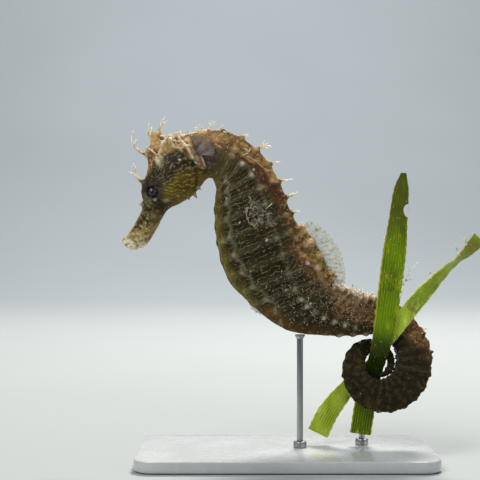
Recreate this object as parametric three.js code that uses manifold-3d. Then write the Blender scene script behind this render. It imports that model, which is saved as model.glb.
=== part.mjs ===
// A long-snouted seahorse, life size, holding on to a cut length of seagrass, on a display stand.
// Millimetres, +Z up. The origin is the middle of the underside of the stand's base. The animal
// faces -X, and its left side faces -Y.
import * as THREE from 'three';
import { mergeVertices } from 'three/addons/utils/BufferGeometryUtils.js';
import Module from 'manifold-3d';

const wasm = await Module();
wasm.setup();

// ---- Driving dimensions ---------------------------------------------------------------------

// Sections along the head, trunk and front of the tail. The ring number is below 0 on the head,
// 0 to 11 on the trunk and above 11 on the tail. x, z and side (y) are the middle of the section,
// tilt is the way its back faces, in degrees up from +X, and depth runs from back to belly.
const SECTION_COLUMNS = ['ring', 'x', 'z', 'side', 'tilt', 'depth', 'width'];
const BODY_SECTIONS = [
  [-8.0, -40.6, 55.7, 0, 138, 4.0, 3.2],
  [-7.3, -38.6, 56.8, 0, 147, 5.2, 4.1],
  [-6.0, -36.15, 60.5, 0, 153, 5.5, 4.4],
  [-4.7, -33.7, 65.1, 0, 168, 6.1, 5.6],
  [-3.6, -32.2, 68.2, 0, 162, 10.8, 7.8],
  [-2.6, -29.8, 71.9, 0, 151, 13.5, 9.0],
  [-1.8, -28.6, 75.5, 0, 146, 16.3, 9.6],
  [-1.2, -26.8, 77.8, 0, 137, 16.3, 9.6],
  [-0.5, -23.7, 78.5, 0, 123, 13.4, 9.0],
  [0.0, -20.7, 79.1, 0, 103, 12.4, 8.2],
  [0.5, -17.5, 79.0, 0, 80, 13.1, 7.8],
  [2.5, -12.5, 74.9, 0, 46, 15.1, 8.6],
  [4.5, -9.9, 68.6, 0, 23, 18.1, 10.0],
  [6.5, -8.0, 60.0, 0, 22, 20.6, 11.4],
  [8.5, -4.3, 51.5, 0, 23, 22.8, 12.0],
  [10.5, 1.3, 43.8, 0, 21, 21.1, 11.4],
  [13.0, 6.6, 39.1, 0.5, 36, 17.7, 10.2],
  [16.0, 15.3, 37.1, 1.8, 57, 12.1, 8.8],
  [19.0, 23.4, 36.7, 3.3, 82, 8.8, 8.0],
];

// The rest of the tail rolls up below itself. Its bend radius shrinks with the square root of the
// angle turned, and would reach zero at ROLL_CLOSING_TURN.
const ROLL_FIRST_RING = 19;
const LAST_RING = 48;
const ROLL_RADIUS = 14.8;
const ROLL_FIRST_TURN = 8;
const ROLL_LAST_TURN = 543;
const ROLL_CLOSING_TURN = 798;
const ROLL_RING_SHORTENING = 0.45;

// Sections of the rolled tail, by degrees turned. The side steps let the grass blade pass behind
// the lower turn and in front of the upper one.
const ROLL_COLUMNS = ['turn', 'depth', 'width', 'side'];
const ROLL_SECTIONS = [
  [8, 8.8, 8.0, 3.3],
  [50, 8.2, 7.8, 2.7],
  [90, 8.4, 7.6, 1.2],
  [135, 8.3, 7.2, -0.9],
  [180, 7.8, 6.8, -2.5],
  [225, 7.0, 6.0, -2.9],
  [270, 5.6, 5.0, -2.2],
  [315, 4.2, 4.0, 0.9],
  [360, 2.8, 3.0, 2.5],
  [405, 2.0, 2.2, 1.8],
  [450, 1.8, 1.8, 0.7],
  [495, 1.5, 1.4, -0.5],
  [543, 0.9, 0.9, -1.3],
];

// Half outlines of a section from the middle of the back to the middle of the belly, as shares of
// half the depth and half the width. The trunk has ridges at points 1, 3, 5 and 7, the tail at 2
// and 5.
const HEAD_OUTLINE = [
  [1, 0], [0.92, 0.42], [0.66, 0.74], [0.28, 0.95], [-0.15, 1], [-0.55, 0.82], [-0.86, 0.45], [-1, 0],
];
const TRUNK_OUTLINE = [
  [0.93, 0], [1, 0.4], [0.58, 0.71], [0.12, 1], [-0.3, 0.85], [-0.66, 0.66], [-0.9, 0.34], [-1, 0],
];
const TAIL_OUTLINE = [
  [0.9, 0], [0.93, 0.45], [1, 0.84], [0.35, 0.92], [-0.3, 0.92], [-0.92, 0.76], [-0.97, 0.4], [-0.97, 0],
];
const TRUNK_RIDGES = [0, 1, 0, 0.5, 0, 0.4, 0, 0.15];
const TAIL_RIDGES = [0, 0.2, 0.8, 0, 0, 0.35, 0, 0];
const SIDES_ROUND = 2 * (TRUNK_OUTLINE.length - 1);

// Ring numbers of the cuts between head pieces: the mouth's opening, the lips' back edge and the
// snout's root. The head ends at ring 0, and HEAD_STEPS sections are set along it.
const MOUTH_RING = -8;
const LIPS_RING = -7.3;
const SNOUT_RING = -4.7;
const HEAD_STEPS = 10;

const GROOVE_DEPTH = 0.35;
const KNOB_HEIGHT = 0.9;
const TALL_KNOB_RINGS = [6, 25];
const TALL_KNOB_FACTOR = 2;
const FIN_BASE_HEIGHT = 1.1;
const CUT_GAP = 0.3;

const EYE_RADIUS = 1.75;
const EYE_PLACE = { x: -34.2, y: 2.6, z: 69.2 };

const GILL_PLACE = { x: -28.2, y: 4.2, z: 75.0 };
const GILL_RADII = { x: 3.5, y: 1.1, z: 4.8 };
const GILL_TURN = 24;

const CORONET_ROOT = { x: -31.3, z: 80.6 };
const CORONET_TILT = 116;
const CORONET_HEIGHT = 4.4;
const CORONET_ROOT_RADIUS = 1.7;
const CORONET_WAIST_RADIUS = 1.65;
const CORONET_POINT_RADIUS = 2.25;
const CORONET_NOTCH_RADIUS = 1.2;
const CORONET_POINTS = 5;
const CORONET_DIP = 0.6;

const FEELER_THICKNESS = 0.52;
const FIN_THICKNESS = 0.6;

// Each fin is a fan: its first and last ray leave the two ends of its root, turned by the two
// headings, and its rays are longest in the middle.
const DORSAL_FIN = {
  rays: 19,
  root: { x: 3.9, z: 59.2, endX: 11.0, endZ: 45.6 },
  headings: [60, -26],
  lengths: [4.0, 7.3, 5.0],
};
const PECTORAL_FIN = {
  rays: 16,
  root: { x: -23.7, z: 80.3, endX: -22.6, endZ: 78.7 },
  headings: [104, 2],
  lengths: [3.9, 5.2, 4.5],
};
const PECTORAL_SIDE = 4.7;
const PECTORAL_FLARE = 9;
const ANAL_FIN = {
  rays: 4,
  root: { x: -7.4, z: 41.2, endX: -5.0, endZ: 39.6 },
  headings: [212, 236],
  lengths: [2.6, 2.9, 2.3],
};

const BASE_LENGTH = 76;
const BASE_WIDTH = 40;
const BASE_THICKNESS = 3;
const BASE_CORNER = 5;
const BODY_ROD = { x: 3.9, y: 0, top: 31.9, radius: 0.8 };
const PERCH_ROD = { x: 20.4, top: 12, radius: 0.75 };

// ---- Small helpers --------------------------------------------------------------------------

const { clamp, degToRad, lerp, smoothstep } = THREE.MathUtils;

// The value of one column of a table at a given value of its first column, on a smooth curve.
function smoothValue(rows, column, at) {
  const last = rows.length - 1;
  let low = 0;
  while (low < last - 1 && at > rows[low + 1][0]) {
    low += 1;
  }
  const slope = (index) => {
    const before = rows[Math.max(index - 1, 0)];
    const after = rows[Math.min(index + 1, last)];
    return (after[column] - before[column]) / (after[0] - before[0]);
  };
  const step = rows[low + 1][0] - rows[low][0];
  const t = (at - rows[low][0]) / step;
  const startPull = (t ** 3 - 2 * t ** 2 + t) * step * slope(low);
  const endPull = (t ** 3 - t ** 2) * step * slope(low + 1);
  const blend = 3 * t ** 2 - 2 * t ** 3;
  return lerp(rows[low][column], rows[low + 1][column], blend) + startPull + endPull;
}

function smoothRow(rows, names, at) {
  const values = names.map((name, column) => [name, smoothValue(rows, column, at)]);
  return Object.fromEntries(values);
}

function toSolid(geometry) {
  const bare = geometry.clone();
  bare.deleteAttribute('normal');
  bare.deleteAttribute('uv');
  const merged = mergeVertices(bare, 1e-4);
  const vertProperties = new Float32Array(merged.attributes.position.array);
  const triVerts = new Uint32Array(merged.index.array);
  return new wasm.Manifold(new wasm.Mesh({ numProp: 3, vertProperties, triVerts }));
}

function toGeometry(solid) {
  const mesh = solid.getMesh();
  const geometry = new THREE.BufferGeometry();
  geometry.setAttribute('position', new THREE.BufferAttribute(mesh.vertProperties, 3));
  geometry.setIndex(new THREE.BufferAttribute(mesh.triVerts, 1));
  geometry.computeVertexNormals();
  return geometry;
}

// Moves every corner of a geometry to the place that a function gives for it.
function reshape(geometry, place) {
  const positions = geometry.attributes.position;
  const corner = new THREE.Vector3();
  for (let i = 0; i < positions.count; i += 1) {
    corner.fromBufferAttribute(positions, i);
    const moved = place(corner);
    positions.setXYZ(i, moved.x, moved.y, moved.z);
  }
  return geometry;
}

function material(color, roughness, metalness = 0) {
  return new THREE.MeshStandardMaterial({ color, roughness, metalness });
}

// ---- The body's own coordinates -------------------------------------------------------------

// The rolled tail's middle line, stepped one degree of turn at a time.
function traceRoll() {
  const start = smoothRow(BODY_SECTIONS, SECTION_COLUMNS, ROLL_FIRST_RING);
  const points = [{ turn: ROLL_FIRST_TURN, run: 0, x: start.x, z: start.z }];
  for (let turn = ROLL_FIRST_TURN + 1; turn <= ROLL_LAST_TURN; turn += 1) {
    const before = points[points.length - 1];
    const heading = degToRad(turn - 0.5);
    const radius = ROLL_RADIUS * (1 - Math.sqrt((turn - 0.5) / ROLL_CLOSING_TURN));
    const step = radius * degToRad(1);
    points.push({
      turn,
      run: before.run + step,
      x: before.x + step * Math.cos(heading),
      z: before.z - step * Math.sin(heading),
    });
  }
  return points;
}

const ROLL = traceRoll();

function rollSection(ring) {
  const share = (ring - ROLL_FIRST_RING) / (LAST_RING - ROLL_FIRST_RING);
  const runShare = share * (1 + ROLL_RING_SHORTENING) - ROLL_RING_SHORTENING * share ** 2;
  const run = runShare * ROLL[ROLL.length - 1].run;
  const upper = clamp(ROLL.findIndex((point) => point.run >= run), 1, ROLL.length - 1);
  const before = ROLL[upper - 1];
  const after = ROLL[upper];
  const t = (run - before.run) / (after.run - before.run);
  const turn = lerp(before.turn, after.turn, t);
  const section = smoothRow(ROLL_SECTIONS, ROLL_COLUMNS, turn);
  return {
    ...section,
    x: lerp(before.x, after.x, t),
    z: lerp(before.z, after.z, t),
    tilt: 90 - turn,
  };
}

function bodySection(ring) {
  if (ring > ROLL_FIRST_RING) {
    return rollSection(ring);
  }
  return smoothRow(BODY_SECTIONS, SECTION_COLUMNS, ring);
}

// How far a section has changed from head to trunk, and from trunk to tail.
function outlineAt(ring, point) {
  const trunkShare = smoothstep(ring, -0.6, 1);
  const tailShare = smoothstep(ring, 10.5, 13.5);
  const mix = (axis) => {
    const front = lerp(HEAD_OUTLINE[point][axis], TRUNK_OUTLINE[point][axis], trunkShare);
    return lerp(front, TAIL_OUTLINE[point][axis], tailShare);
  };
  const ridge = lerp(TRUNK_RIDGES[point] * trunkShare, TAIL_RIDGES[point], tailShare);
  return { back: mix(0), side: mix(1), ridge };
}

// Height of the knob where a ring crosses a ridge: full in the middle of the ring.
function knobHeight(ring, section) {
  const number = Math.floor(ring) + 1;
  const tall = TALL_KNOB_RINGS.includes(number) ? TALL_KNOB_FACTOR : 1;
  const besideFin = smoothstep(ring, 8, 9) * (1 - smoothstep(ring, 11.5, 12));
  return KNOB_HEIGHT * tall * (1 - 0.6 * besideFin) * Math.min(1, section.depth / 7);
}

// A point on the body: the ring number along it, and the corner number round it, which counts from
// the middle of the back over the left side. The point is moved out by grow.
function bodyPoint(ring, corner, grow = 0) {
  const section = bodySection(ring);
  const point = Math.min(corner, SIDES_ROUND - corner);
  const hand = corner > SIDES_ROUND / 2 ? -1 : 1;
  const outline = outlineAt(ring, point);
  const alongRing = ring - Math.floor(ring);
  const crown = ring > 0 ? 1 - Math.abs(2 * alongRing - 1) : 0;
  let back = outline.back * section.depth / 2;
  let left = outline.side * section.width / 2;
  const reach = Math.hypot(back, left);
  const groove = ring > 0 ? GROOVE_DEPTH * (1 - crown) * Math.min(1, section.depth / 7) : 0;
  const besideFin = smoothstep(ring, 7.6, 8.4) * (1 - smoothstep(ring, 10.6, 11.4));
  const finBase = point < 2 ? FIN_BASE_HEIGHT * besideFin : 0;
  const rise = grow - groove + outline.ridge * crown * knobHeight(ring, section);
  back += back / reach * rise + finBase;
  left += left / reach * rise;
  const tilt = degToRad(section.tilt);
  return new THREE.Vector3(
    section.x + back * Math.cos(tilt),
    section.side - hand * left,
    section.z + back * Math.sin(tilt),
  );
}

// Half a cut as a share of a ring. In a bend it lies between what the middle of the body needs and
// what the short inner side needs.
function ringGap(ring) {
  const step = 0.05;
  const lengthAt = (corner, grow) => {
    const before = bodyPoint(ring - step, corner, grow);
    return bodyPoint(ring + step, corner, grow).distanceTo(before) / (2 * step);
  };
  const back = lengthAt(0, 0);
  const belly = lengthAt(SIDES_ROUND / 2, 0);
  const ringLength = (3 * Math.min(back, belly) + Math.max(back, belly)) / 4;
  return CUT_GAP / 2 / ringLength;
}

// A length of the body between two ring numbers. Its ends stand half a cut back from them. Corners
// says which corners of the section it takes, in order round it, so that a part of the section can
// be made alone, and shift moves its open side clear of the neighbour.
function bodyLength(from, to, options = {}) {
  const corners = options.corners ?? [...Array(SIDES_ROUND).keys()];
  const grow = options.grow ?? 0;
  const shift = options.shift ?? (() => 0);
  const steps = options.steps ?? Math.round(2 * (to - from));
  const first = options.openStart ? from : from + ringGap(from);
  const last = options.openEnd ? to : to - ringGap(to);
  const geometry = new THREE.CylinderGeometry(1, 1, 1, corners.length, steps);
  const pointAt = (ring, index) => {
    const corner = corners[index % corners.length];
    const point = bodyPoint(ring, corner, grow);
    const tilt = degToRad(bodySection(ring).tilt);
    const move = shift(ring, corner);
    point.x += move * Math.cos(tilt);
    point.z += move * Math.sin(tilt);
    return point;
  };
  reshape(geometry, (vertex) => {
    const row = Math.round((vertex.y + 0.5) * steps);
    const ring = clamp(from + (to - from) * row / steps, first, last);
    if (Math.hypot(vertex.x, vertex.z) > 0.5) {
      const turn = Math.atan2(vertex.x, vertex.z) / (2 * Math.PI);
      const index = Math.round((turn + 1) * corners.length) % corners.length;
      return pointAt(ring, index);
    }
    const middle = new THREE.Vector3();
    corners.forEach((corner, index) => middle.add(pointAt(ring, index)));
    return middle.divideScalar(corners.length);
  });
  return toSolid(geometry);
}

// ---- Feelers and fins -----------------------------------------------------------------------

// A round strand along a path.
function strand(path, steps) {
  const sides = 5;
  const spots = [...Array(sides).keys()].map((i) => {
    const angle = i / sides * 2 * Math.PI;
    return new THREE.Vector2(Math.cos(angle), Math.sin(angle)).multiplyScalar(FEELER_THICKNESS / 2);
  });
  const outline = new THREE.Shape(spots);
  return toSolid(new THREE.ExtrudeGeometry(outline, { steps, bevelEnabled: false, extrudePath: path }));
}

// The unit direction with a heading up from +X in the X-Z plane and a lean out of it towards +Y.
function direction(heading, lean) {
  const up = degToRad(heading);
  const out = degToRad(lean);
  const flat = Math.cos(out);
  return new THREE.Vector3(Math.cos(up) * flat, Math.sin(out), Math.sin(up) * flat);
}

// A thin skin feeler: it leaves the body at a ring and corner, sunk a little into it. Heading is its
// way up from +X in degrees, lean its turn out to the side, and curl how far it bends over its
// length. Each twig leaves it at a share of its length, with a heading and length of its own.
function feeler({ ring, corner, lift = 0, heading, lean = 0, length, curl = 0, twigs = [] }) {
  const hand = corner > SIDES_ROUND / 2 ? 1 : -1;
  const way = (degrees) => direction(degrees, hand * lean);
  const steps = 4;
  const sunk = 0.8;
  const root = bodyPoint(ring, corner, lift);
  const points = [bodyPoint(ring, corner, lift - sunk), root];
  for (let i = 0; i < steps; i += 1) {
    const place = points[points.length - 1].clone();
    points.push(place.addScaledVector(way(heading + curl * (i + 0.5) / steps), length / steps));
  }
  let solid = strand(new THREE.CatmullRomCurve3(points), steps);
  twigs.forEach(([share, twigHeading, twigLength]) => {
    const fork = points[1 + Math.round(share * steps)];
    const tip = fork.clone().addScaledVector(way(twigHeading), twigLength);
    solid = solid.add(strand(new THREE.LineCurve3(fork, tip), 1));
  });
  return solid;
}

// The same feeler on both sides of the body. The right one is a little shorter.
function feelerPair(values) {
  const right = { ...values, corner: SIDES_ROUND - values.corner, length: values.length * 0.85 };
  return feeler(values).add(feeler(right));
}

// A blunt skin spine on a ridge.
function spine({ ring, corner, heading, lean = 0, length, radius = 0.8 }) {
  const hand = corner > SIDES_ROUND / 2 ? 1 : -1;
  const root = bodyPoint(ring, corner, -0.4);
  const way = direction(heading, hand * lean);
  const geometry = new THREE.CylinderGeometry(FEELER_THICKNESS / 2, radius, length, 6);
  geometry.translate(0, length / 2, 0);
  geometry.applyQuaternion(new THREE.Quaternion().setFromUnitVectors(new THREE.Vector3(0, 1, 0), way));
  geometry.translate(root.x, root.y, root.z);
  return toSolid(geometry);
}

// A flat fan of fin rays in the X-Z plane, with a small notch in its edge between rays.
function finPlate({ rays, root, headings, lengths }) {
  const notch = 0.25;
  const feet = [];
  const edge = [];
  for (let i = 0; i <= 2 * (rays - 1); i += 1) {
    const share = i / (2 * (rays - 1));
    const heading = degToRad(lerp(headings[0], headings[1], share));
    const ends = lerp(lengths[0], lengths[2], share);
    const middle = lengths[1] - (lengths[0] + lengths[2]) / 2;
    const length = ends + middle * Math.sin(Math.PI * share) - (i % 2) * notch;
    const footX = lerp(root.x, root.endX, share);
    const footZ = lerp(root.z, root.endZ, share);
    edge.push(new THREE.Vector2(footX + length * Math.cos(heading), footZ + length * Math.sin(heading)));
    if (i % 6 === 0) {
      feet.unshift(new THREE.Vector2(footX, footZ));
    }
  }
  const outline = new THREE.Shape([...edge, ...feet]);
  const geometry = new THREE.ExtrudeGeometry(outline, { depth: FIN_THICKNESS, bevelEnabled: false });
  geometry.translate(0, 0, -FIN_THICKNESS / 2);
  geometry.rotateX(Math.PI / 2);
  return geometry;
}

// ---- Nodes ----------------------------------------------------------------------------------

const finishes = {
  flesh: material('#7b6746', 0.62),
  snout: material('#a89166', 0.62),
  pouch: material('#6e4d24', 0.55),
  tail: material('#4f4436', 0.66),
  gill: material('#6b5a38', 0.58),
  eye: material('#1c1a17', 0.12),
  fin: material('#b9c6bd', 0.4),
  grass: material('#5e8420', 0.5),
  base: material('#d4d6d6', 0.35),
  rod: material('#b8babc', 0.3, 1),
};

const group = new THREE.Group();
group.name = 'seahorse';

function addMesh(name, solid, finish) {
  const mesh = new THREE.Mesh(toGeometry(solid), finish);
  mesh.name = name;
  group.add(mesh);
}

function join(solid, ...others) {
  return others.reduce((whole, other) => whole.add(other), solid);
}

const CORNERS_ABOVE = [0, 1, 2, 3, 4, 10, 11, 12, 13];
const CORNERS_BELOW = [4, 5, 6, 7, 8, 9, 10];

// Moves the shared edge of an upper and a lower length apart, by half a cut each.
function parting(way) {
  return (ring, corner) => (corner === 4 || corner === 10 ? way * CUT_GAP / 2 : 0);
}

function eyeball(hand, grow = 0) {
  const geometry = new THREE.SphereGeometry(EYE_RADIUS + grow, 14, 8);
  geometry.rotateX(Math.PI / 2);
  geometry.translate(EYE_PLACE.x, hand * EYE_PLACE.y, EYE_PLACE.z);
  return toSolid(geometry);
}

function gillCover(hand, grow = 0) {
  const geometry = new THREE.SphereGeometry(1, 14, 6);
  geometry.scale(GILL_RADII.x + grow, GILL_RADII.y + grow, GILL_RADII.z + grow);
  geometry.rotateY(degToRad(GILL_TURN));
  geometry.translate(GILL_PLACE.x, hand * GILL_PLACE.y, GILL_PLACE.z);
  return toSolid(geometry);
}

function addMouth() {
  const ends = { steps: 2, openStart: true };
  const upper = bodyLength(MOUTH_RING, LIPS_RING, { ...ends, corners: CORNERS_ABOVE, shift: parting(1) });
  const lower = bodyLength(MOUTH_RING, LIPS_RING, { ...ends, corners: CORNERS_BELOW, shift: parting(-1) });
  addMesh('upper_jaw', upper, finishes.snout);
  addMesh('lower_jaw', lower, finishes.snout);
  addMesh('snout', bodyLength(LIPS_RING, SNOUT_RING, { steps: 5 }), finishes.snout);
}

function addHead() {
  let head = bodyLength(SNOUT_RING, 0, { steps: HEAD_STEPS });
  const eyeFeeler = { ring: -3.15, corner: 1, heading: 140, lean: 14, length: 4.4, curl: -14 };
  head = join(
    head,
    spine({ ring: -4.3, corner: 0, heading: 172, length: 1.9 }),
    spine({ ring: -3.1, corner: 1, heading: 140, lean: 18, length: 2.2 }),
    spine({ ring: -3.1, corner: 13, heading: 140, lean: 18, length: 2.2 }),
    spine({ ring: -2.0, corner: 0, heading: 158, length: 2.0 }),
    spine({ ring: -1.7, corner: 2, heading: 138, lean: 30, length: 2.2 }),
    spine({ ring: -1.7, corner: 12, heading: 138, lean: 30, length: 2.2 }),
    spine({ ring: -0.7, corner: 1, heading: 118, lean: 15, length: 1.9, radius: 1.3 }),
    spine({ ring: -0.7, corner: 13, heading: 118, lean: 15, length: 1.9, radius: 1.3 }),
    spine({ ring: -2.4, corner: 6, heading: 300, lean: 20, length: 1.6 }),
    spine({ ring: -2.4, corner: 8, heading: 300, lean: 20, length: 1.6 }),
    feelerPair({ ...eyeFeeler, twigs: [[0.25, 108, 3]] }),
    feeler({ ring: -2.0, corner: 0, heading: 164, length: 7.6, curl: -84, twigs: [[0.5, 62, 1.9]] }),
    feelerPair({ ring: -1.7, corner: 2, heading: 134, lean: 30, length: 4.6 }),
  );
  for (const hand of [-1, 1]) {
    head = head.subtract(eyeball(hand, CUT_GAP)).subtract(gillCover(hand, CUT_GAP));
  }
  addMesh('head', head, finishes.flesh);
  addMesh('eye_left', eyeball(-1), finishes.eye);
  addMesh('eye_right', eyeball(1), finishes.eye);
  addMesh('gill_cover_left', gillCover(-1), finishes.gill);
  addMesh('gill_cover_right', gillCover(1), finishes.gill);
}

// The crown on top of the head: a low stalk that flares into blunt points round a shallow hollow.
function addCoronet() {
  const rows = 2;
  const around = 2 * CORONET_POINTS;
  const crown = new THREE.CylinderGeometry(1, 1, 1, around, rows);
  reshape(crown, (vertex) => {
    const row = Math.round((vertex.y + 0.5) * rows);
    const turn = Math.atan2(vertex.x, vertex.z);
    const corner = Math.round(turn / (2 * Math.PI) * around);
    const isMiddle = Math.hypot(vertex.x, vertex.z) < 0.5;
    const isPoint = !isMiddle && corner % 2 === 0;
    const topRadius = isPoint ? CORONET_POINT_RADIUS : CORONET_NOTCH_RADIUS;
    const radius = [CORONET_ROOT_RADIUS, CORONET_WAIST_RADIUS, topRadius][row];
    const reach = isMiddle ? 0 : radius;
    const dip = row === rows && !isPoint ? CORONET_DIP : 0;
    const height = CORONET_HEIGHT * row / rows - dip;
    return new THREE.Vector3(reach * Math.sin(turn), height, reach * Math.cos(turn));
  });
  crown.rotateX(Math.PI / 2);
  crown.rotateY(degToRad(90 - CORONET_TILT));
  crown.translate(CORONET_ROOT.x, 0, CORONET_ROOT.z);
  const top = join(
    toSolid(crown),
    feeler({ ring: -1.35, corner: 0, lift: 1.6, heading: 96, length: 3.4, curl: -20 }),
    feeler({ ring: -1.0, corner: 0, lift: 1.4, heading: 62, length: 4.4, curl: 0, twigs: [[0.5, 30, 1.8]] }),
  );
  const headSpace = bodyLength(SNOUT_RING, 0, { steps: HEAD_STEPS, grow: CUT_GAP });
  addMesh('coronet', top.subtract(headSpace), finishes.flesh);
}

function addNeckAndTrunk() {
  const neck = join(
    bodyLength(0, 2),
    feelerPair({ ring: 0.09, corner: 1, heading: 96, lean: 12, length: 2.2 }),
    feelerPair({
      ring: 0.2, corner: 1, heading: 66, lean: 14, length: 3.2, curl: -24, twigs: [[0.5, 98, 1.6]],
    }),
    feelerPair({ ring: 1.5, corner: 1, heading: 36, lean: 10, length: 1.6, curl: -60 }),
  );
  addMesh('neck', neck, finishes.flesh);
  const upper = join(
    bodyLength(2, 5),
    feelerPair({
      ring: 2.5, corner: 1, heading: 26, lean: 10, length: 3.6, curl: -52, twigs: [[0.25, 50, 1.6]],
    }),
    feelerPair({ ring: 3.5, corner: 1, heading: 6, lean: 8, length: 2.2 }),
    feelerPair({ ring: 4.5, corner: 1, heading: 2, lean: 8, length: 2.9 }),
  );
  addMesh('trunk_upper', upper, finishes.flesh);
  const middle = join(
    bodyLength(5, 8),
    feelerPair({ ring: 5.5, corner: 1, heading: 26, lean: 12, length: 2.2, twigs: [[0.5, -10, 1.2]] }),
    feelerPair({ ring: 6.5, corner: 1, heading: 2, lean: 12, length: 1.2 }),
  );
  addMesh('trunk_middle', middle, finishes.flesh);
  addMesh('trunk_lower', bodyLength(8, 11), finishes.flesh);
}

function addFins() {
  const dorsal = toSolid(finPlate(DORSAL_FIN)).subtract(bodyLength(7, 12, { grow: CUT_GAP }));
  addMesh('dorsal_fin', dorsal, finishes.fin);
  const besideNeck = bodyLength(-1, 3, { steps: 8, grow: CUT_GAP });
  for (const [name, hand] of [['pectoral_fin_left', -1], ['pectoral_fin_right', 1]]) {
    const geometry = finPlate(PECTORAL_FIN);
    const { x, z } = PECTORAL_FIN.root;
    geometry.translate(-x, 0, -z);
    geometry.rotateZ(hand * degToRad(PECTORAL_FLARE));
    geometry.translate(x, hand * PECTORAL_SIDE, z);
    const fin = toSolid(geometry).subtract(besideNeck).subtract(gillCover(hand, CUT_GAP));
    addMesh(name, fin, finishes.fin);
  }
  const belly = bodyLength(9, 13, { grow: CUT_GAP });
  addMesh('anal_fin', toSolid(finPlate(ANAL_FIN)).subtract(belly), finishes.fin);
}

const TAIL_CUTS = [19, 22, 25, 28, 31, 34, 37, 41];

function addTail() {
  const base = join(
    bodyLength(11, 16, { corners: CORNERS_ABOVE, shift: parting(1) }),
    feelerPair({ ring: 14.5, corner: 2, heading: 74, lean: 14, length: 1.4 }),
    feelerPair({ ring: 15.5, corner: 2, heading: 92, lean: 14, length: 1.4, twigs: [[0.5, 50, 0.9]] }),
  );
  addMesh('tail_base', base, finishes.flesh);
  const pouch = bodyLength(11, 16, { corners: CORNERS_BELOW, shift: parting(-1) });
  addMesh('brood_pouch', pouch, finishes.pouch);
  const upper = join(
    bodyLength(16, 19),
    feelerPair({ ring: 16.5, corner: 2, heading: 80, lean: 14, length: 1.6 }),
    feelerPair({ ring: 17.5, corner: 2, heading: 98, lean: 14, length: 1.3 }),
  );
  addMesh('tail_upper', upper, finishes.flesh);
  for (let i = 0; i < TAIL_CUTS.length - 1; i += 1) {
    addMesh(`tail_roll_${i + 1}`, bodyLength(TAIL_CUTS[i], TAIL_CUTS[i + 1]), finishes.tail);
  }
  const tip = bodyLength(TAIL_CUTS[TAIL_CUTS.length - 1], LAST_RING, { steps: 11, openEnd: true });
  addMesh('tail_tip', tip, finishes.tail);
}

// ---- The seagrass perch ---------------------------------------------------------------------

// Middle lines of the two blades from the cut foot up: share of the length, x, z, width, and turn
// out of the X-Z plane in degrees.
const BLADE_COLUMNS = ['share', 'x', 'z', 'width', 'turn'];
const UPRIGHT_BLADE = [
  [0.0, 19.9, 6.0, 5.6, 0],
  [0.12, 21.1, 14.0, 5.6, 0],
  [0.2, 22.2, 19.4, 5.0, 0],
  [0.3, 24.0, 26.4, 4.8, 0],
  [0.42, 25.5, 34.0, 5.7, 0],
  [0.56, 26.8, 44.4, 6.0, 0],
  [0.7, 28.0, 54.0, 6.0, 0],
  [0.82, 28.9, 62.4, 4.8, 0],
  [0.93, 29.7, 70.0, 3.8, 0],
  [1.0, 30.3, 74.1, 1.2, 0],
];
const SLANTING_BLADE = [
  [0.0, 8.8, 6.0, 5.8, 0],
  [0.1, 11.8, 12.0, 5.6, 0],
  [0.22, 17.5, 19.2, 4.2, 0],
  [0.3, 22.0, 24.2, 2.6, 0],
  [0.36, 23.9, 27.4, 2.7, 0],
  [0.46, 27.4, 32.6, 3.9, 0],
  [0.6, 34.0, 41.2, 4.4, 12],
  [0.75, 40.6, 48.4, 4.4, 48],
  [0.84, 44.2, 51.6, 4.4, 64],
  [0.92, 47.6, 54.8, 4.3, 36],
  [1.0, 50.0, 57.4, 4.0, 10],
];
// How far back the upright blade stands, by height: it leans to pass behind the tail's lower turn
// and in front of its upper one.
const BLADE_LEAN = [
  [6, 2.8],
  [14, 2.4],
  [19.2, 1.8],
  [23.1, 0.75],
  [25.5, -0.5],
  [27.3, -1.4],
  [32, -2.8],
  [36, -3.3],
  [45, -3.7],
  [75, -4.2],
];
const BLADE_THICKNESS = 0.6;
const BLADE_SPACING = 1.05;
const BITE = { x: 31.5, z: 64.4, radius: 1.2, height: 1.7 };

function bladeSolid(rows, behind, steps) {
  const geometry = new THREE.BoxGeometry(1, 1, 1, 2, steps, 1);
  reshape(geometry, (vertex) => {
    const share = vertex.y + 0.5;
    const middle = smoothRow(rows, BLADE_COLUMNS, share);
    const ahead = smoothRow(rows, BLADE_COLUMNS, share + 0.01);
    const way = Math.atan2(ahead.z - middle.z, ahead.x - middle.x) - Math.PI / 2;
    const turn = degToRad(middle.turn);
    const across = vertex.x * middle.width;
    const through = vertex.z * BLADE_THICKNESS;
    const inPlane = across * Math.cos(turn) + through * Math.sin(turn);
    const outOfPlane = through * Math.cos(turn) - across * Math.sin(turn);
    const z = middle.z + inPlane * Math.sin(way);
    return new THREE.Vector3(
      middle.x + inPlane * Math.cos(way),
      smoothValue(BLADE_LEAN, 1, z) + behind - outOfPlane,
      z,
    );
  });
  return toSolid(geometry);
}

function addPerch() {
  const bite = new THREE.CylinderGeometry(BITE.radius, BITE.radius, 6, 10);
  bite.scale(1, 1, BITE.height / BITE.radius);
  bite.translate(BITE.x, smoothValue(BLADE_LEAN, 1, BITE.z), BITE.z);
  const upright = bladeSolid(UPRIGHT_BLADE, 0, 34).subtract(toSolid(bite));
  addMesh('perch_blade_upright', upright, finishes.grass);
  addMesh('perch_blade_slanting', bladeSolid(SLANTING_BLADE, BLADE_SPACING, 30), finishes.grass);
}

// ---- The display stand ----------------------------------------------------------------------

function rod(x, y, top, radius) {
  const bottom = BASE_THICKNESS + CUT_GAP;
  const geometry = new THREE.CylinderGeometry(radius, radius, top - bottom, 16);
  geometry.rotateX(Math.PI / 2);
  geometry.translate(x, y, (top + bottom) / 2);
  return toSolid(geometry);
}

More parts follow.
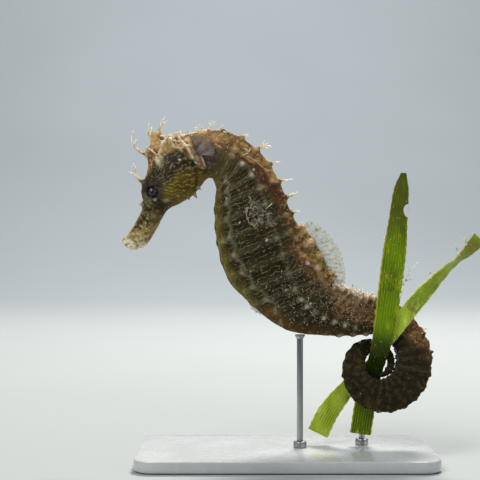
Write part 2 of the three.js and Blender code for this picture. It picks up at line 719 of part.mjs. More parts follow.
function addStand() {
  const outline = new THREE.Shape();
  const halfLength = BASE_LENGTH / 2;
  const halfWidth = BASE_WIDTH / 2;
  const inLength = halfLength - BASE_CORNER;
  const inWidth = halfWidth - BASE_CORNER;
  outline.absarc(inLength, inWidth, BASE_CORNER, 0, Math.PI / 2);
  outline.absarc(-inLength, inWidth, BASE_CORNER, Math.PI / 2, Math.PI);
  outline.absarc(-inLength, -inWidth, BASE_CORNER, Math.PI, 1.5 * Math.PI);
  outline.absarc(inLength, -inWidth, BASE_CORNER, 1.5 * Math.PI, 2 * Math.PI);
  const solidPlate = { depth: BASE_THICKNESS, bevelEnabled: false, curveSegments: 6 };
  const plate = new THREE.ExtrudeGeometry(outline, solidPlate);
  addMesh('stand_base', toSolid(plate), finishes.base);
  addMesh('stand_rod_body', rod(BODY_ROD.x, BODY_ROD.y, BODY_ROD.top, BODY_ROD.radius), finishes.rod);
  const foot = UPRIGHT_BLADE[0];
  const bladeBack = smoothValue(BLADE_LEAN, 1, foot[2]) + BLADE_THICKNESS / 2;
  const rodSide = bladeBack + CUT_GAP + PERCH_ROD.radius;
  addMesh('stand_rod_perch', rod(PERCH_ROD.x, rodSide, PERCH_ROD.top, PERCH_ROD.radius), finishes.rod);
}

addMouth();
addHead();
addCoronet();
addNeckAndTrunk();
addFins();
addTail();
addPerch();
addStand();

export default group;
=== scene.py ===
# A long-snouted seahorse, life size, holding on to a cut length of seagrass, on a display stand.
# The animal faces -X and its left side faces -Y. Sizes are given in millimetres and placed in metres.
import math

import bpy
import numpy as np
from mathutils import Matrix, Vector, noise


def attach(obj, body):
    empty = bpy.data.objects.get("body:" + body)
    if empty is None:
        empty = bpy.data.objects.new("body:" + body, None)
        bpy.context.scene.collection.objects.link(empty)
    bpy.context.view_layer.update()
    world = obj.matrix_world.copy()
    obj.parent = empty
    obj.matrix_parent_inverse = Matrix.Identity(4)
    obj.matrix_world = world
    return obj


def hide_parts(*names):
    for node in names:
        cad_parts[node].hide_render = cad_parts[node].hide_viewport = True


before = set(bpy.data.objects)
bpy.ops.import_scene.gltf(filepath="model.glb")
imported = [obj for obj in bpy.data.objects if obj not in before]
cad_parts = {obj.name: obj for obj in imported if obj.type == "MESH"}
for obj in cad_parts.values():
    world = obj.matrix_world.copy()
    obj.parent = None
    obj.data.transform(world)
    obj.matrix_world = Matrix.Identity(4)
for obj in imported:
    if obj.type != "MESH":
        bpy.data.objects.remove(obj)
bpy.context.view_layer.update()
bpy.ops.object.select_all(action="DESELECT")


# ---- Skin -----------------------------------------------------------------------------------
# One skin covers the whole animal from the lips to the tip of the tail. It is thin and leathery,
# stretched over rings of bony plates, with a knob wherever a ring crosses one of the long ridges.
# It is wrapped on as a sleeve, row by row, then lifted into knobs, spines, folds and the crown.

MM = 0.001

# Sections along the head, trunk and front of the tail: ring number, x, z and side (y) of the
# middle, the way its back faces in degrees up from +X, depth from back to belly, and width.
BODY_SECTIONS = np.array([
    [-8.0, -40.6, 55.7, 0, 138, 4.0, 3.2],
    [-7.3, -38.6, 56.8, 0, 147, 5.2, 4.1],
    [-6.0, -36.15, 60.5, 0, 153, 5.5, 4.4],
    [-4.7, -33.7, 65.1, 0, 168, 6.1, 5.6],
    [-3.6, -32.2, 68.2, 0, 162, 10.8, 7.8],
    [-2.6, -29.8, 71.9, 0, 151, 13.5, 9.0],
    [-1.8, -28.6, 75.5, 0, 146, 16.3, 9.6],
    [-1.2, -26.8, 77.8, 0, 137, 16.3, 9.6],
    [-0.5, -23.7, 78.5, 0, 123, 13.4, 9.0],
    [0.0, -20.7, 79.1, 0, 103, 12.4, 8.2],
    [0.5, -17.5, 79.0, 0, 80, 13.1, 7.8],
    [2.5, -12.5, 74.9, 0, 46, 15.1, 8.6],
    [4.5, -9.9, 68.6, 0, 23, 18.1, 10.0],
    [6.5, -8.0, 60.0, 0, 22, 20.6, 11.4],
    [8.5, -4.3, 51.5, 0, 23, 22.8, 12.0],
    [10.5, 1.3, 43.8, 0, 21, 21.1, 11.4],
    [13.0, 6.6, 39.1, 0.5, 36, 17.7, 10.2],
    [16.0, 15.3, 37.1, 1.8, 57, 12.1, 8.8],
    [19.0, 23.4, 36.7, 3.3, 82, 8.8, 8.0],
])

# The rest of the tail rolls up. Its bend radius shrinks with the square root of the angle turned.
ROLL_FIRST_RING = 19
LAST_RING = 48
ROLL_RADIUS = 14.8
ROLL_FIRST_TURN = 8
ROLL_LAST_TURN = 543
ROLL_CLOSING_TURN = 798
ROLL_RING_SHORTENING = 0.45

# Sections of the rolled tail: degrees turned, depth, width and side.
ROLL_SECTIONS = np.array([
    [8, 8.8, 8.0, 3.3],
    [50, 8.2, 7.8, 2.7],
    [90, 8.4, 7.6, 1.2],
    [135, 8.3, 7.2, -0.9],
    [180, 7.8, 6.8, -2.5],
    [225, 7.0, 6.0, -2.9],
    [270, 5.6, 5.0, -2.2],
    [315, 4.2, 4.0, 0.9],
    [360, 2.8, 3.0, 2.5],
    [405, 2.0, 2.2, 1.8],
    [450, 1.8, 1.8, 0.7],
    [495, 1.5, 1.4, -0.5],
    [543, 0.9, 0.9, -1.3],
])

# Half outlines of a section from the middle of the back to the middle of the belly, as shares of
# half the depth and half the width.
HEAD_OUTLINE = [
    [1, 0], [0.92, 0.42], [0.66, 0.74], [0.28, 0.95], [-0.15, 1], [-0.55, 0.82], [-0.86, 0.45], [-1, 0],
]
TRUNK_OUTLINE = [
    [0.93, 0], [1, 0.4], [0.58, 0.71], [0.12, 1], [-0.3, 0.85], [-0.66, 0.66], [-0.9, 0.34], [-1, 0],
]
TAIL_OUTLINE = [
    [0.9, 0], [0.93, 0.45], [1, 0.84], [0.35, 0.92], [-0.3, 0.92], [-0.92, 0.76], [-0.97, 0.4], [-0.97, 0],
]
ROUND = 14
MOUTH_RING = -8.0


def smooth_rows(table, at):
    """Every column of a table at each value of its first column, on smooth curves."""
    key = table[:, 0]
    index = np.arange(len(table))
    before = np.maximum(index - 1, 0)
    after = np.minimum(index + 1, len(table) - 1)
    slope = (table[after] - table[before]) / (key[after] - key[before])[:, None]
    low = np.clip(np.searchsorted(key, at, side="right") - 1, 0, len(table) - 2)
    step = (key[low + 1] - key[low])[:, None]
    t = (at - key[low])[:, None] / step
    pull = (t ** 3 - 2 * t ** 2 + t) * slope[low] + (t ** 3 - t ** 2) * slope[low + 1]
    return table[low] + (table[low + 1] - table[low]) * (3 * t ** 2 - 2 * t ** 3) + pull * step


def soft(share):
    return share * share * (3 - 2 * share)


def smoothstep(value, start, end):
    """0 on the side of start and 1 on the side of end. It falls where start is the larger."""
    return soft(np.clip((value - start) / (end - start), 0, 1))


def band(value, start, full, fading, end):
    """Rises from 0 at start to 1 at full, and falls from fading to 0 again at end."""
    return smoothstep(value, start, full) * smoothstep(value, end, fading)


def bell(distance, width):
    return np.exp(-(distance / width) ** 2)


def body_sections(ring):
    """x, z, side, tilt, depth and width of the section at each ring number."""
    turns = np.arange(ROLL_FIRST_TURN, ROLL_LAST_TURN + 1)
    heading = np.radians(turns[1:] - 0.5)
    step = ROLL_RADIUS * (1 - np.sqrt((turns[1:] - 0.5) / ROLL_CLOSING_TURN)) * math.radians(1)
    length, across, up = (
        np.concatenate([[0], np.cumsum(step * way)]) for way in (1, np.cos(heading), -np.sin(heading)))
    share = np.clip((ring - ROLL_FIRST_RING) / (LAST_RING - ROLL_FIRST_RING), 0, 1)
    share = share * (1 + ROLL_RING_SHORTENING) - ROLL_RING_SHORTENING * share ** 2
    run = share * length[-1]
    turn = np.interp(run, length, turns)
    rolled = smooth_rows(ROLL_SECTIONS, turn)
    body = smooth_rows(BODY_SECTIONS, np.minimum(ring, ROLL_FIRST_RING))
    roll = np.stack([
        ring,
        BODY_SECTIONS[-1, 1] + np.interp(run, length, across),
        BODY_SECTIONS[-1, 2] + np.interp(run, length, up),
        rolled[:, 3],
        90 - turn,
        rolled[:, 1],
        rolled[:, 2],
    ], axis=1)
    return np.where((ring > ROLL_FIRST_RING)[:, None], roll, body)[:, 1:]


def round_weights(corner):
    """For each corner number round the outline, the weights of its 14 points on a closed curve."""
    low = np.floor(corner).astype(int)
    t = corner - low
    weights = np.zeros((len(corner), ROUND))
    shares = [
        (-t + 2 * t ** 2 - t ** 3) / 2,
        (2 - 5 * t ** 2 + 3 * t ** 3) / 2,
        (t + 4 * t ** 2 - 3 * t ** 3) / 2,
        (t ** 3 - t ** 2) / 2,
    ]
    for offset, share in enumerate(shares):
        np.add.at(weights, (np.arange(len(corner)), (low + offset - 1) % ROUND), share)
    return weights


def plain_body(ring, corner):
    """The grid of points of the plain body, before any relief, for ring numbers by corner numbers."""
    section = body_sections(ring)
    trunk = smoothstep(ring, -0.6, 1)[:, None, None]
    tail = smoothstep(ring, 10.5, 13.5)[:, None, None]
    half = np.array(HEAD_OUTLINE) * (1 - trunk) + np.array(TRUNK_OUTLINE) * trunk
    half = half * (1 - tail) + np.array(TAIL_OUTLINE) * tail
    right = half[:, 6:0:-1] * [1, -1]
    outline = np.einsum("kc,rcv->rkv", round_weights(corner), np.concatenate([half, right], axis=1))
    x, z, side, tilt, depth, width = (column[:, None] for column in section.T)
    back = outline[..., 0] * depth / 2
    left = outline[..., 1] * width / 2
    tilt = np.radians(tilt)
    return np.stack([x + back * np.cos(tilt), side - left, z + back * np.sin(tilt)], axis=2)


# Rows of the sleeve are closest on the head, most of all under the crown, and its columns are
# closest along the back. A few more rows close the two ends.
ROW_MARKS = [[-2.4, 128], [-0.5, 72], [0, 14], [11, 190], [19, 90], [31, 110], [LAST_RING, 70]]
COLUMN_MARKS = [[1, 15], [ROUND - 1, 9 * (ROUND - 2)], [ROUND, 15]]
END_ROWS = 9


def spaced(first, marks):
    """Numbers from first on, evenly spaced up to each mark in turn."""
    numbers = [first]
    for last, steps in marks:
        numbers.extend(np.linspace(numbers[-1], last, steps + 1)[1:])
    return np.array(numbers)


END_RINGS = 0.3
closing = np.linspace(0, 1, END_ROWS, endpoint=False)
ring_rows = np.concatenate([
    MOUTH_RING - END_RINGS * (1 - closing),
    spaced(MOUTH_RING, ROW_MARKS),
    LAST_RING + END_RINGS * (1 - closing[::-1]),
])
corner_columns = spaced(0, COLUMN_MARKS)
R, C = np.meshgrid(ring_rows, corner_columns, indexing="ij")
half_round = np.minimum(C, ROUND - C)
side_sign = np.where(C > ROUND / 2, 1.0, -1.0)


MOUTH_DOME = 0.9
TIP_DOME = 0.5


def close_ends(points):
    """Draws the rows at the two ends in to a point each, on a dome."""
    for rows, first, ahead, shares, dome in (
        (slice(0, END_ROWS), END_ROWS, END_ROWS + 4, closing, MOUTH_DOME),
        (slice(-END_ROWS, None), -END_ROWS - 1, -END_ROWS - 5, closing[::-1], TIP_DOME),
    ):
        middle = points[first].mean(axis=0)
        way = middle - points[ahead].mean(axis=0)
        way = way / np.linalg.norm(way)
        shares = shares[:, None, None]
        bulge = dome * np.sqrt(1 - shares ** 2)
        points[rows] = middle + shares * (points[first] - middle) + bulge * way


skin = plain_body(np.clip(ring_rows, MOUTH_RING, LAST_RING), corner_columns)
close_ends(skin)


def slopes(points):
    """How many millimetres a ring and a corner measure, and the way out, at each point."""
    along = np.gradient(points, ring_rows, axis=0)
    wrapped = np.concatenate([points[:, -2:-1], points, points[:, 1:2]], axis=1)
    ends = np.concatenate([[-corner_columns[1]], corner_columns, [ROUND + corner_columns[1]]])
    across = (wrapped[:, 2:] - wrapped[:, :-2]) / (ends[2:] - ends[:-2])[None, :, None]
    out = np.cross(across, along)
    out = out / np.maximum(np.linalg.norm(out, axis=2, keepdims=True), 1e-9)
    return np.linalg.norm(along, axis=2), np.linalg.norm(across, axis=2), out


SHORTEST_RING = 0.4
per_ring, per_corner, outward = slopes(skin)
per_ring = np.maximum(per_ring, SHORTEST_RING)


def way_of(heading, lean=0.0):
    """A heading up from +X in the X-Z plane, leant out of it to each point's own side."""
    up, out = math.radians(heading), math.radians(lean)
    x, z = math.cos(up) * math.cos(out), math.sin(up) * math.cos(out)
    return np.stack([np.full_like(R, x), side_sign * math.sin(out), np.full_like(R, z)], axis=2)


def spot(ring, corner, spread, stretch=1.0):
    """On both sides of the body: 1 at a place on the skin, falling to 0 at spread millimetres from it."""
    along = (R - ring) * per_ring
    across = (half_round - corner) * per_corner / stretch
    return 1 - np.clip(np.hypot(along, across) / spread, 0, 1)


def mound(ring, corner, spread, stretch=1.0):
    """A spot with a rounded top and a soft foot."""
    return soft(spot(ring, corner, spread, stretch))


def fold(places, spread):
    """On both sides: 1 along a line through places, each a ring and a corner, falling to 0 at spread."""
    nearest = np.full_like(R, np.inf)
    for (ring, corner), (next_ring, next_corner) in zip(places, places[1:]):
        x, y = (R - ring) * per_ring, (half_round - corner) * per_corner
        dx, dy = (next_ring - ring) * per_ring, (next_corner - corner) * per_corner
        share = np.clip((x * dx + y * dy) / np.maximum(dx ** 2 + dy ** 2, 1e-9), 0, 1)
        nearest = np.minimum(nearest, np.hypot(x - share * dx, y - share * dy))
    return soft(1 - np.clip(nearest / spread, 0, 1))


SEED_STEP = 7.3


def grain(size, seed, depth=2):
    """Smooth noise over the skin, about -1 to 1, with patches of size millimetres."""
    places = skin.reshape(-1, 3) / size + seed * SEED_STEP
    values = [noise.fractal(Vector(place), 1.0, 2.0, depth) for place in places]
    return np.array(values).reshape(R.shape)


def lift(height, way=None):
    """Moves the skin by height millimetres, straight out or along way."""
    global skin
    skin = skin + np.asarray(height)[..., None] * (outward if way is None else way)


# The rings: each is a low plate with its crest in the middle and a groove at either end. The ridges
# run along the body, each a table of rings and corners, and a knob stands where a crest crosses one.
GROOVE_DEPTH = 0.3
KNOB_HEIGHT = 0.9
TALL_KNOB_RINGS = [6, 22, 25]
BACK_RIDGE = np.array([[-0.5, 1.0], [10.5, 1.0], [12.5, 1.9], [LAST_RING, 2.0]])
FLANK_RIDGE = np.array([
    [0, 2.9], [2.5, 2.6], [5, 2.3], [7.6, 2.35], [9, 2.6], [11.4, 3.2], [14.6, 3.8], [17, 4.2], [20, 5.0],
])
BELLY_RIDGE = np.array([[0, 4.4], [3, 4.6], [6, 4.9], [9, 4.85], [11, 4.7], [13, 5.0], [LAST_RING, 5.0]])
RIDGE_WIDTH = 0.6
RIDGE_HEIGHT = 0.2
KNOB_LENGTH = 0.65

body_share = smoothstep(R, -0.1, 0.8)
thinness = np.minimum(1, body_sections(ring_rows)[:, 4] / 7)[:, None] * smoothstep(LAST_RING - R, 0, 3)
from_crest = np.abs(R - np.floor(R) - 0.5)
rolled = smoothstep(R, 19, 22)
crest = bell(from_crest, 0.2 + 0.13 * rolled)
beside_fin = band(R, 7.6, 8.6, 10.8, 12)
ring_number = np.floor(R) + 1
tall = np.where(np.isin(ring_number, TALL_KNOB_RINGS), 1.7, 1.0)
edge_share = np.maximum(1 - half_round / 2.5, 0.2 * smoothstep(half_round, 6.2, 7))
pouch = band(R, 10.6, 11.4, 15.2, 16.4) * smoothstep(half_round, 4.3, 5.3)
plates = (1 - 0.85 * pouch) * body_share * thinness
belly_smooth = 1 - smoothstep(half_round, 4.9, 5.6) * smoothstep(R, 18, 16)
low_grooves = 1 - 0.5 * smoothstep(R, 11.5, 13) * (1 - rolled)
groove_share = 0.6 * belly_smooth + 0.9 * np.clip(edge_share, 0, 1)
lift(-(1 - crest) * GROOVE_DEPTH * low_grooves * groove_share * plates)

# Each knob has a size of its own, and those on the rolled tail are nearly worn away. Rows: ridge,
# knob height, what is left on the rolled tail, first ring, last ring and how far it sways.
own_size = 0.55 + 0.45 * np.abs(np.sin(2.4 * np.clip(ring_number, 0, LAST_RING + 1) + 1))
knobs = np.zeros_like(R)
ridges = np.zeros_like(R)
for table, height, kept, from_ring, to_ring, sway in (
    (BACK_RIDGE, 1.0, 0.16, 0.2, LAST_RING - 1, 0.0),
    (FLANK_RIDGE, 0.65, 0.3, 0.5, 18.0, 0.06),
    (BELLY_RIDGE, 0.45, 0.15, 1.6, LAST_RING - 1, 0.14),
):
    middle = np.interp(R, table[:, 0], table[:, 1]) - sway * np.cos(2 * math.pi * R)
    across = (half_round - middle) * per_corner
    shown = band(R, from_ring, from_ring + 0.6, to_ring - 0.6, to_ring) * thinness
    line = bell(across, RIDGE_WIDTH) * shown
    point = line * bell(from_crest * per_ring, KNOB_LENGTH) * own_size * (1 - (1 - kept) * rolled)
    ridges = np.maximum(ridges, line)
    knobs = np.maximum(knobs, point * (1 - 0.9 * pouch))
    fade = (1 - 0.6 * beside_fin) * (1 - 0.9 * pouch)
    lift((RIDGE_HEIGHT * line + KNOB_HEIGHT * height * tall * point) * fade)

# Swollen lumps here and there along the top of the tail.
top_lumps = smoothstep(2.4 * grain(1.5, 12) + 0.35, 0, 1) * (0.55 + 0.45 * crest)
top_lumps = top_lumps * bell(half_round - 1.3, 0.85) * smoothstep(R, 11.8, 12.8) * (1 - rolled)
lift(0.6 * top_lumps)

# The keel: a thin dark edge along the belly with a low scallop on each ring.
keel = bell((half_round - 7) * per_corner, 0.35) * band(R, 1, 3, 10.4, 11.0)
lift(keel * (0.12 + 0.2 * np.sin(2.6 * R + np.sin(R)) ** 2))

# The raised, bumpy root of the back fin.
fin_root = band(R, 7.3, 8.2, 10.8, 11.6) * smoothstep(half_round, 1.9, 0.8)
ROOT_LUMPS = [
    (7.75, 0.9, 1.7), (8.5, 1.15, 2.2), (9.25, 0.9, 2.0),
    (9.75, 1.4, 1.8), (10.3, 0.7, 2.1), (10.95, 1.0, 1.5),
]
root_lumps = np.maximum.reduce([mound(*lump) for lump in ROOT_LUMPS])
lift(0.8 * fin_root + 0.9 * root_lumps)

# A golden cone on the neck, which carries a tuft of feelers.
neck_cone = mound(0.08, 1.2, 2.6)
lift(0.45 * neck_cone)

outward = slopes(skin)[2]

# The eye sits in a low turret of skin whose round opening just laps the ball.
EYE_PLACE = (-34.2, 2.6, 69.2)
EYE_RADIUS = 1.75
EYE_OPENING = 1.15
TURRET_RADIUS = 3.1
LID_LAP = 0.18
UNDER_BALL = 0.4
beside_eye = (np.abs(R + 3.5) < 1.6) & (half_round > 0.8) & (half_round < 5.5)
eye_distance = np.where(beside_eye, np.hypot(skin[..., 0] - EYE_PLACE[0], skin[..., 2] - EYE_PLACE[2]), 9)
eye_angle = np.arctan2(skin[..., 2] - EYE_PLACE[2], skin[..., 0] - EYE_PLACE[0])
ball = EYE_PLACE[1] + np.sqrt(np.maximum(EYE_RADIUS ** 2 - eye_distance ** 2, 0))
lid = EYE_PLACE[1] + math.sqrt(EYE_RADIUS ** 2 - EYE_OPENING ** 2) + LID_LAP
opening = EYE_OPENING * (1 + 0.17 * np.cos(2 * eye_angle + 1.57) + 0.05 * np.cos(5 * eye_angle))
inside = smoothstep(eye_distance, opening + 0.12, opening - 0.15)
turret = smoothstep(eye_distance, TURRET_RADIUS, opening + 0.2)
spokes = np.cos(11 * eye_angle + 1.5 * np.sin(2 * eye_angle + 1) + 0.9 * np.sin(5 * eye_angle))
spoke_share = band(eye_distance, 1.3, 1.7, 2.2, 3.4)
side_place = np.abs(skin[..., 1])
eye_bag = bell(eye_distance - 2.0, 0.4) * smoothstep(np.cos(eye_angle + 0.6), 0.2, 0.9)
side_place = side_place + (lid - side_place) * turret + 0.08 * spokes * spoke_share + 0.3 * eye_bag
side_place = side_place + (ball - UNDER_BALL - side_place) * inside
skin[..., 1] = np.where(eye_distance < 4, side_sign * side_place, skin[..., 1])

# The mouth is a short slit across the blunt end of the snout, between a thin upper lip and a lower
# lip with a fleshy chin behind it.
MOUTH_CORNER = 3.5
LIP_RING = -7.85
slit = bell(half_round - MOUTH_CORNER, 0.75) * smoothstep(R, MOUTH_RING + 0.35, MOUTH_RING - 0.05)
lip_edge = bell(R - LIP_RING, 0.16) * (1 - bell(half_round - MOUTH_CORNER, 0.7))
chin = mound(-7.2, 6.3, 2.0, 1.4)
chin_crease = fold([(-7.5, 3.2), (-7.62, 5.0), (-7.72, 7.0)], 0.55)
lip_crease = fold([(-7.55, 1.0), (-7.45, 2.2), (-7.6, 3.4)], 0.5)
lift(0.28 * lip_edge + 0.15 * chin - 0.6 * slit - 0.38 * chin_crease - 0.2 * lip_crease)

# The snout: a low ridge along its top with small bumps, and a finer one low on each side.
snout_share = band(R, -7.4, -6.9, -4.9, -4.3)
snout_ridge = bell(half_round * per_corner, 0.55) * snout_share
upper_line = bell((half_round - 2.1) * per_corner, 0.5) * snout_share
lower_line = bell((half_round - 4.8) * per_corner, 0.5) * snout_share
lift(0.24 * snout_ridge * (1 + 0.2 * np.sin(R * 14)) + 0.16 * upper_line + 0.14 * lower_line)

# The gill cover: a rounded shield on the cheek, with fine folds over it and a groove behind it.
gill_groove = fold([(-0.95, 2.4), (-0.72, 3.3), (-0.78, 4.4), (-1.2, 5.4), (-1.9, 6.1)], 0.8)
lift(0.55 * mound(-1.75, 3.7, 5.4, 0.8) - 0.45 * gill_groove)

# A lobe of skin at the root of the breast fin, like a finger laid along it, with a thin raised rim.
lobe = fold([(-0.44, 2.85), (-0.42, 3.4), (-0.38, 4.1), (-0.36, 4.8)], 1.3)
lobe_rim = fold([(-0.48, 2.5), (-0.26, 2.9), (-0.18, 4.1), (-0.2, 4.8)], 0.45)
lift(0.9 * lobe + 0.3 * lobe_rim)

# The fold from the nape down to the gill opening, ending in a small point, and the net of thin
# folds between it and the crown, with hollows in its mesh.
nape_fold = fold([(-0.62, 0.2), (-0.58, 1.0), (-0.58, 2.0), (-0.56, 3.1), (-0.65, 3.9)], 1.0)
lift(0.75 * nape_fold)
nape_zone = mound(-0.8, 0.9, 5.2) * smoothstep(R, -0.1, -0.5) * smoothstep(half_round, 3.2, 2.3)
in_nape = smoothstep(nape_zone, 0.05, 0.4)
nape_net = smoothstep(np.abs(grain(1.7, 8, 1)), 0.16, 0) * in_nape
NAPE_FOLDS = [
    [(-1.08, 1.9), (-0.9, 1.6), (-0.6, 2.0)],
    [(-1.0, 0.4), (-0.82, 1.2), (-0.9, 1.6), (-0.98, 2.6)],
    [(-1.7, 2.1), (-1.4, 1.9), (-1.15, 1.5)],
    [(-1.0, 2.3), (-0.8, 2.7), (-0.56, 2.6)],
]
nape_web = np.maximum.reduce([nape_net] + [fold(places, 0.42) for places in NAPE_FOLDS])
lift((0.55 * nape_web - 0.3) * in_nape)

# Spines: ring, corner, height, spread, heading and lean. They are drawn-up skin over bone.
HEAD_SPINES = [
    (-4.55, 0.0, 0.9, 1.25, 176, 0),
    (-3.2, 0.5, 1.1, 1.3, 150, 10),
    (-1.72, 0.0, 0.8, 2.4, 160, 0),
    (-2.0, 0.0, 1.0, 1.7, 158, 0),
    (-1.87, 2.3, 1.3, 1.5, 125, 50),
    (-2.06, 2.44, 0.5, 1.3, 150, 60),
    (-0.75, 0.5, 0.5, 1.6, 105, 10),
    (-0.5, 0.6, 0.45, 1.6, 100, 10),
    (-0.95, 1.5, 0.8, 1.2, 120, 40),
    (-0.65, 3.8, 0.7, 0.8, 330, 50),
    (-2.45, 6.5, 1.6, 0.9, 300, 20),
    (-2.0, 6.4, 1.0, 0.8, 320, 25),
    (-2.95, 6.6, 0.6, 0.7, 290, 15),
    (-4.0, 3.3, 0.4, 0.7, 250, 50),
]
per_ring, per_corner, outward = slopes(skin)
per_ring = np.maximum(per_ring, SHORTEST_RING)
spines = np.zeros_like(R)
for ring, corner, height, spread, heading, lean in HEAD_SPINES:
    share = spot(ring, corner, spread)
    spines = np.maximum(spines, share ** 1.2)
    lift(height * share ** 1.5 * (1 + 0.5 * share), way_of(heading, lean))

# Worn points that are left here and there round the outside of the rolled tail: ring, corner, height
# and spread.
COIL_POINTS = [
    (22.8, 1.9, 0.6, 0.9), (23.4, 2.0, 0.35, 0.8), (24.1, 1.9, 1.1, 0.8),
    (25.5, 2.2, 0.7, 0.8), (26.7, 2.2, 0.5, 0.8), (27.8, 2.3, 0.8, 0.7),
    (28.3, 2.4, 0.7, 0.6), (29.7, 2.4, 0.6, 0.8), (21.9, 2.1, 0.35, 0.9),
]
for ring, corner, height, spread in COIL_POINTS:
    lift(height * spot(ring, corner, spread) ** 1.5)

# The crown: a low stalk that flares into five blunt points round a shallow hollow.
CROWN_RING = -1.3
CROWN_TILT = 106
CROWN_HEIGHT = 2.9
CROWN_POINTS = 5
CROWN_SPREAD = 2.8
CROWN_WAIST = 1.65
CROWN_RIM = 1.4
CROWN_POINT = 0.75
CROWN_HOLLOW = 0.25
STALK_SHARE = 0.62
crown_up = np.array([math.cos(math.radians(CROWN_TILT)), 0, math.sin(math.radians(CROWN_TILT))])
crown_fore = np.array([-crown_up[2], 0, crown_up[0]])
root_row = np.argmin(np.abs(ring_rows - CROWN_RING))
crown_root = skin[root_row, 0] - 0.6 * crown_up
from_root = skin - crown_root
fore = from_root @ crown_fore
aside = from_root[..., 1]
reach = np.hypot(fore, aside)
bearing = np.arctan2(aside, fore)
on_top = (half_round < 3) & (R > -3.2) & (R < 0.3)
inward = np.where(on_top, 1 - np.clip(reach / CROWN_SPREAD, 0, 1), 0)
petal = 0.5 + 0.5 * np.cos(CROWN_POINTS * bearing)
rim = CROWN_RIM + CROWN_POINT * petal
up_stalk = np.clip(inward / STALK_SHARE, 0, 1)
over_top = np.clip((inward - STALK_SHARE) / (1 - STALK_SHARE), 0, 1)
flare = smoothstep(up_stalk, 0.45, 1)
stalk_reach = CROWN_SPREAD + (CROWN_WAIST - CROWN_SPREAD) * np.sqrt(np.clip(up_stalk / 0.4, 0, 1))
stalk_reach = stalk_reach + (rim - CROWN_WAIST) * flare
crown_reach = stalk_reach * (1 - over_top)
crown_rise = CROWN_HEIGHT * smoothstep(up_stalk, 0, 1.02) - 0.6 * (1 - petal) * flare
crown_rise = crown_rise - (CROWN_HOLLOW + 0.7 * petal) * soft(over_top)
base_rise = (from_root @ crown_up) * smoothstep(inward, 0.3, 0)
crown_place = (
    crown_root
    + (crown_reach * np.cos(bearing))[..., None] * crown_fore
    + (crown_reach * np.sin(bearing))[..., None] * np.array([0, 1, 0])
    + (base_rise + crown_rise)[..., None] * crown_up
)
crown_share = smoothstep(inward, 0.0, 0.08)[..., None]
skin = skin * (1 - crown_share) + crown_place * crown_share

# Fine relief: shallow folds that run round the trunk, and wavy folds on the cheek that break up into
# curls on the gill cover.
LINES_PER_RING = 3.6
CHEEK_LINES_FROM = (-37.3, 69.7)
CHEEK_LINES = 9.5
per_ring, per_corner, outward = slopes(skin)
warble = grain(2.2, 1)
lines = 0.5 + 0.5 * np.cos(2 * math.pi * (LINES_PER_RING * R + 0.5 * warble))
line_share = band(R, 0.3, 1.6, 11, 14) * band(half_round, 0.9, 1.8, 5.0, 5.8)
wave_bearing = np.arctan2(skin[..., 2] - CHEEK_LINES_FROM[1], skin[..., 0] - CHEEK_LINES_FROM[0])
cheek = mound(-2.1, 3.8, 8.5) * smoothstep(eye_distance, 2.2, 4.2) * smoothstep(half_round, 1.5, 2.2)
curl_share = smoothstep(mound(-1.7, 3.2, 4.2), 0.35, 0.8)
curls = np.cos(2 * math.pi * 2.6 * grain(2.4, 6, 1))
wave_turns = CHEEK_LINES * wave_bearing + 0.6 * warble + 0.25 * np.sin(1.6 * eye_distance)
waves = np.cos(2 * math.pi * wave_turns)
wave = smoothstep(waves + (curls - waves) * curl_share, 0.5, 0.97) * smoothstep(cheek, 0.06, 0.35)
lift(0.08 * lines * line_share + 0.1 * wave)

# A crust that has settled on the flank, fine rings on the rolled tail, warts and a grain all over.
CRUST_MOUNDS = [(5.3, 3.0, 2.4), (5.75, 2.9, 3.0), (6.15, 2.75, 2.6), (6.45, 2.35, 2.2)]
crust = np.clip(1.3 * np.maximum.reduce([mound(*place) for place in CRUST_MOUNDS]), 0, 1)
lift(0.7 * crust * smoothstep(3 * grain(1.0, 9), 0, 1))
lift(0.07 * np.cos(2 * math.pi * (2.5 * R + 0.4 * warble)) * rolled * smoothstep(LAST_RING - R, 0, 6))
warts = np.clip(grain(0.75, 2) - 0.25, 0, 1)
wart_share = (0.35 + 0.65 * smoothstep(R, 9, 13)) * smoothstep(R, -4.2, -3) * (1 - pouch) * (1 - cheek)
lift(0.35 * warts * wart_share)
lift(0.06 * grain(0.45, 3) + 0.05 * grain(1.6, 4))


def coordinates(made):
    """The places of a mesh's vertices, one to a row."""
    flat = np.empty(len(made.data.vertices) * 3)
    made.data.vertices.foreach_get("co", flat)
    return flat.reshape(-1, 3)


def set_points(made, points):
    """Moves a mesh's vertices to points given in millimetres."""
    made.data.vertices.foreach_set("co", (points * MM).ravel())


def grid(name, along, across):
    """A grid of faces, and the shares of the way along it and across it of its vertices."""
    bpy.ops.mesh.primitive_grid_add(x_subdivisions=along, y_subdivisions=across, size=1)
    made = bpy.context.object
    made.name = made.data.name = name
    return made, *(coordinates(made)[:, :2] + 0.5).T


def smooth_outside(weld=0.0):
    """Turns every face of the new mesh outwards and shades it smooth."""
    bpy.ops.object.mode_set(mode="EDIT")
    bpy.ops.mesh.select_all(action="SELECT")
    if weld:
        bpy.ops.mesh.remove_doubles(threshold=weld)
    bpy.ops.mesh.normals_make_consistent(inside=False)
    bpy.ops.object.mode_set(mode="OBJECT")
    bpy.ops.object.shade_smooth()


def modify(made, kind, **settings):
    """Adds a modifier of a kind and applies it."""
    modifier = made.modifiers.new(kind.lower(), kind)
    for key, value in settings.items():
        setattr(modifier, key, value)
    bpy.ops.object.modifier_apply(modifier=modifier.name)


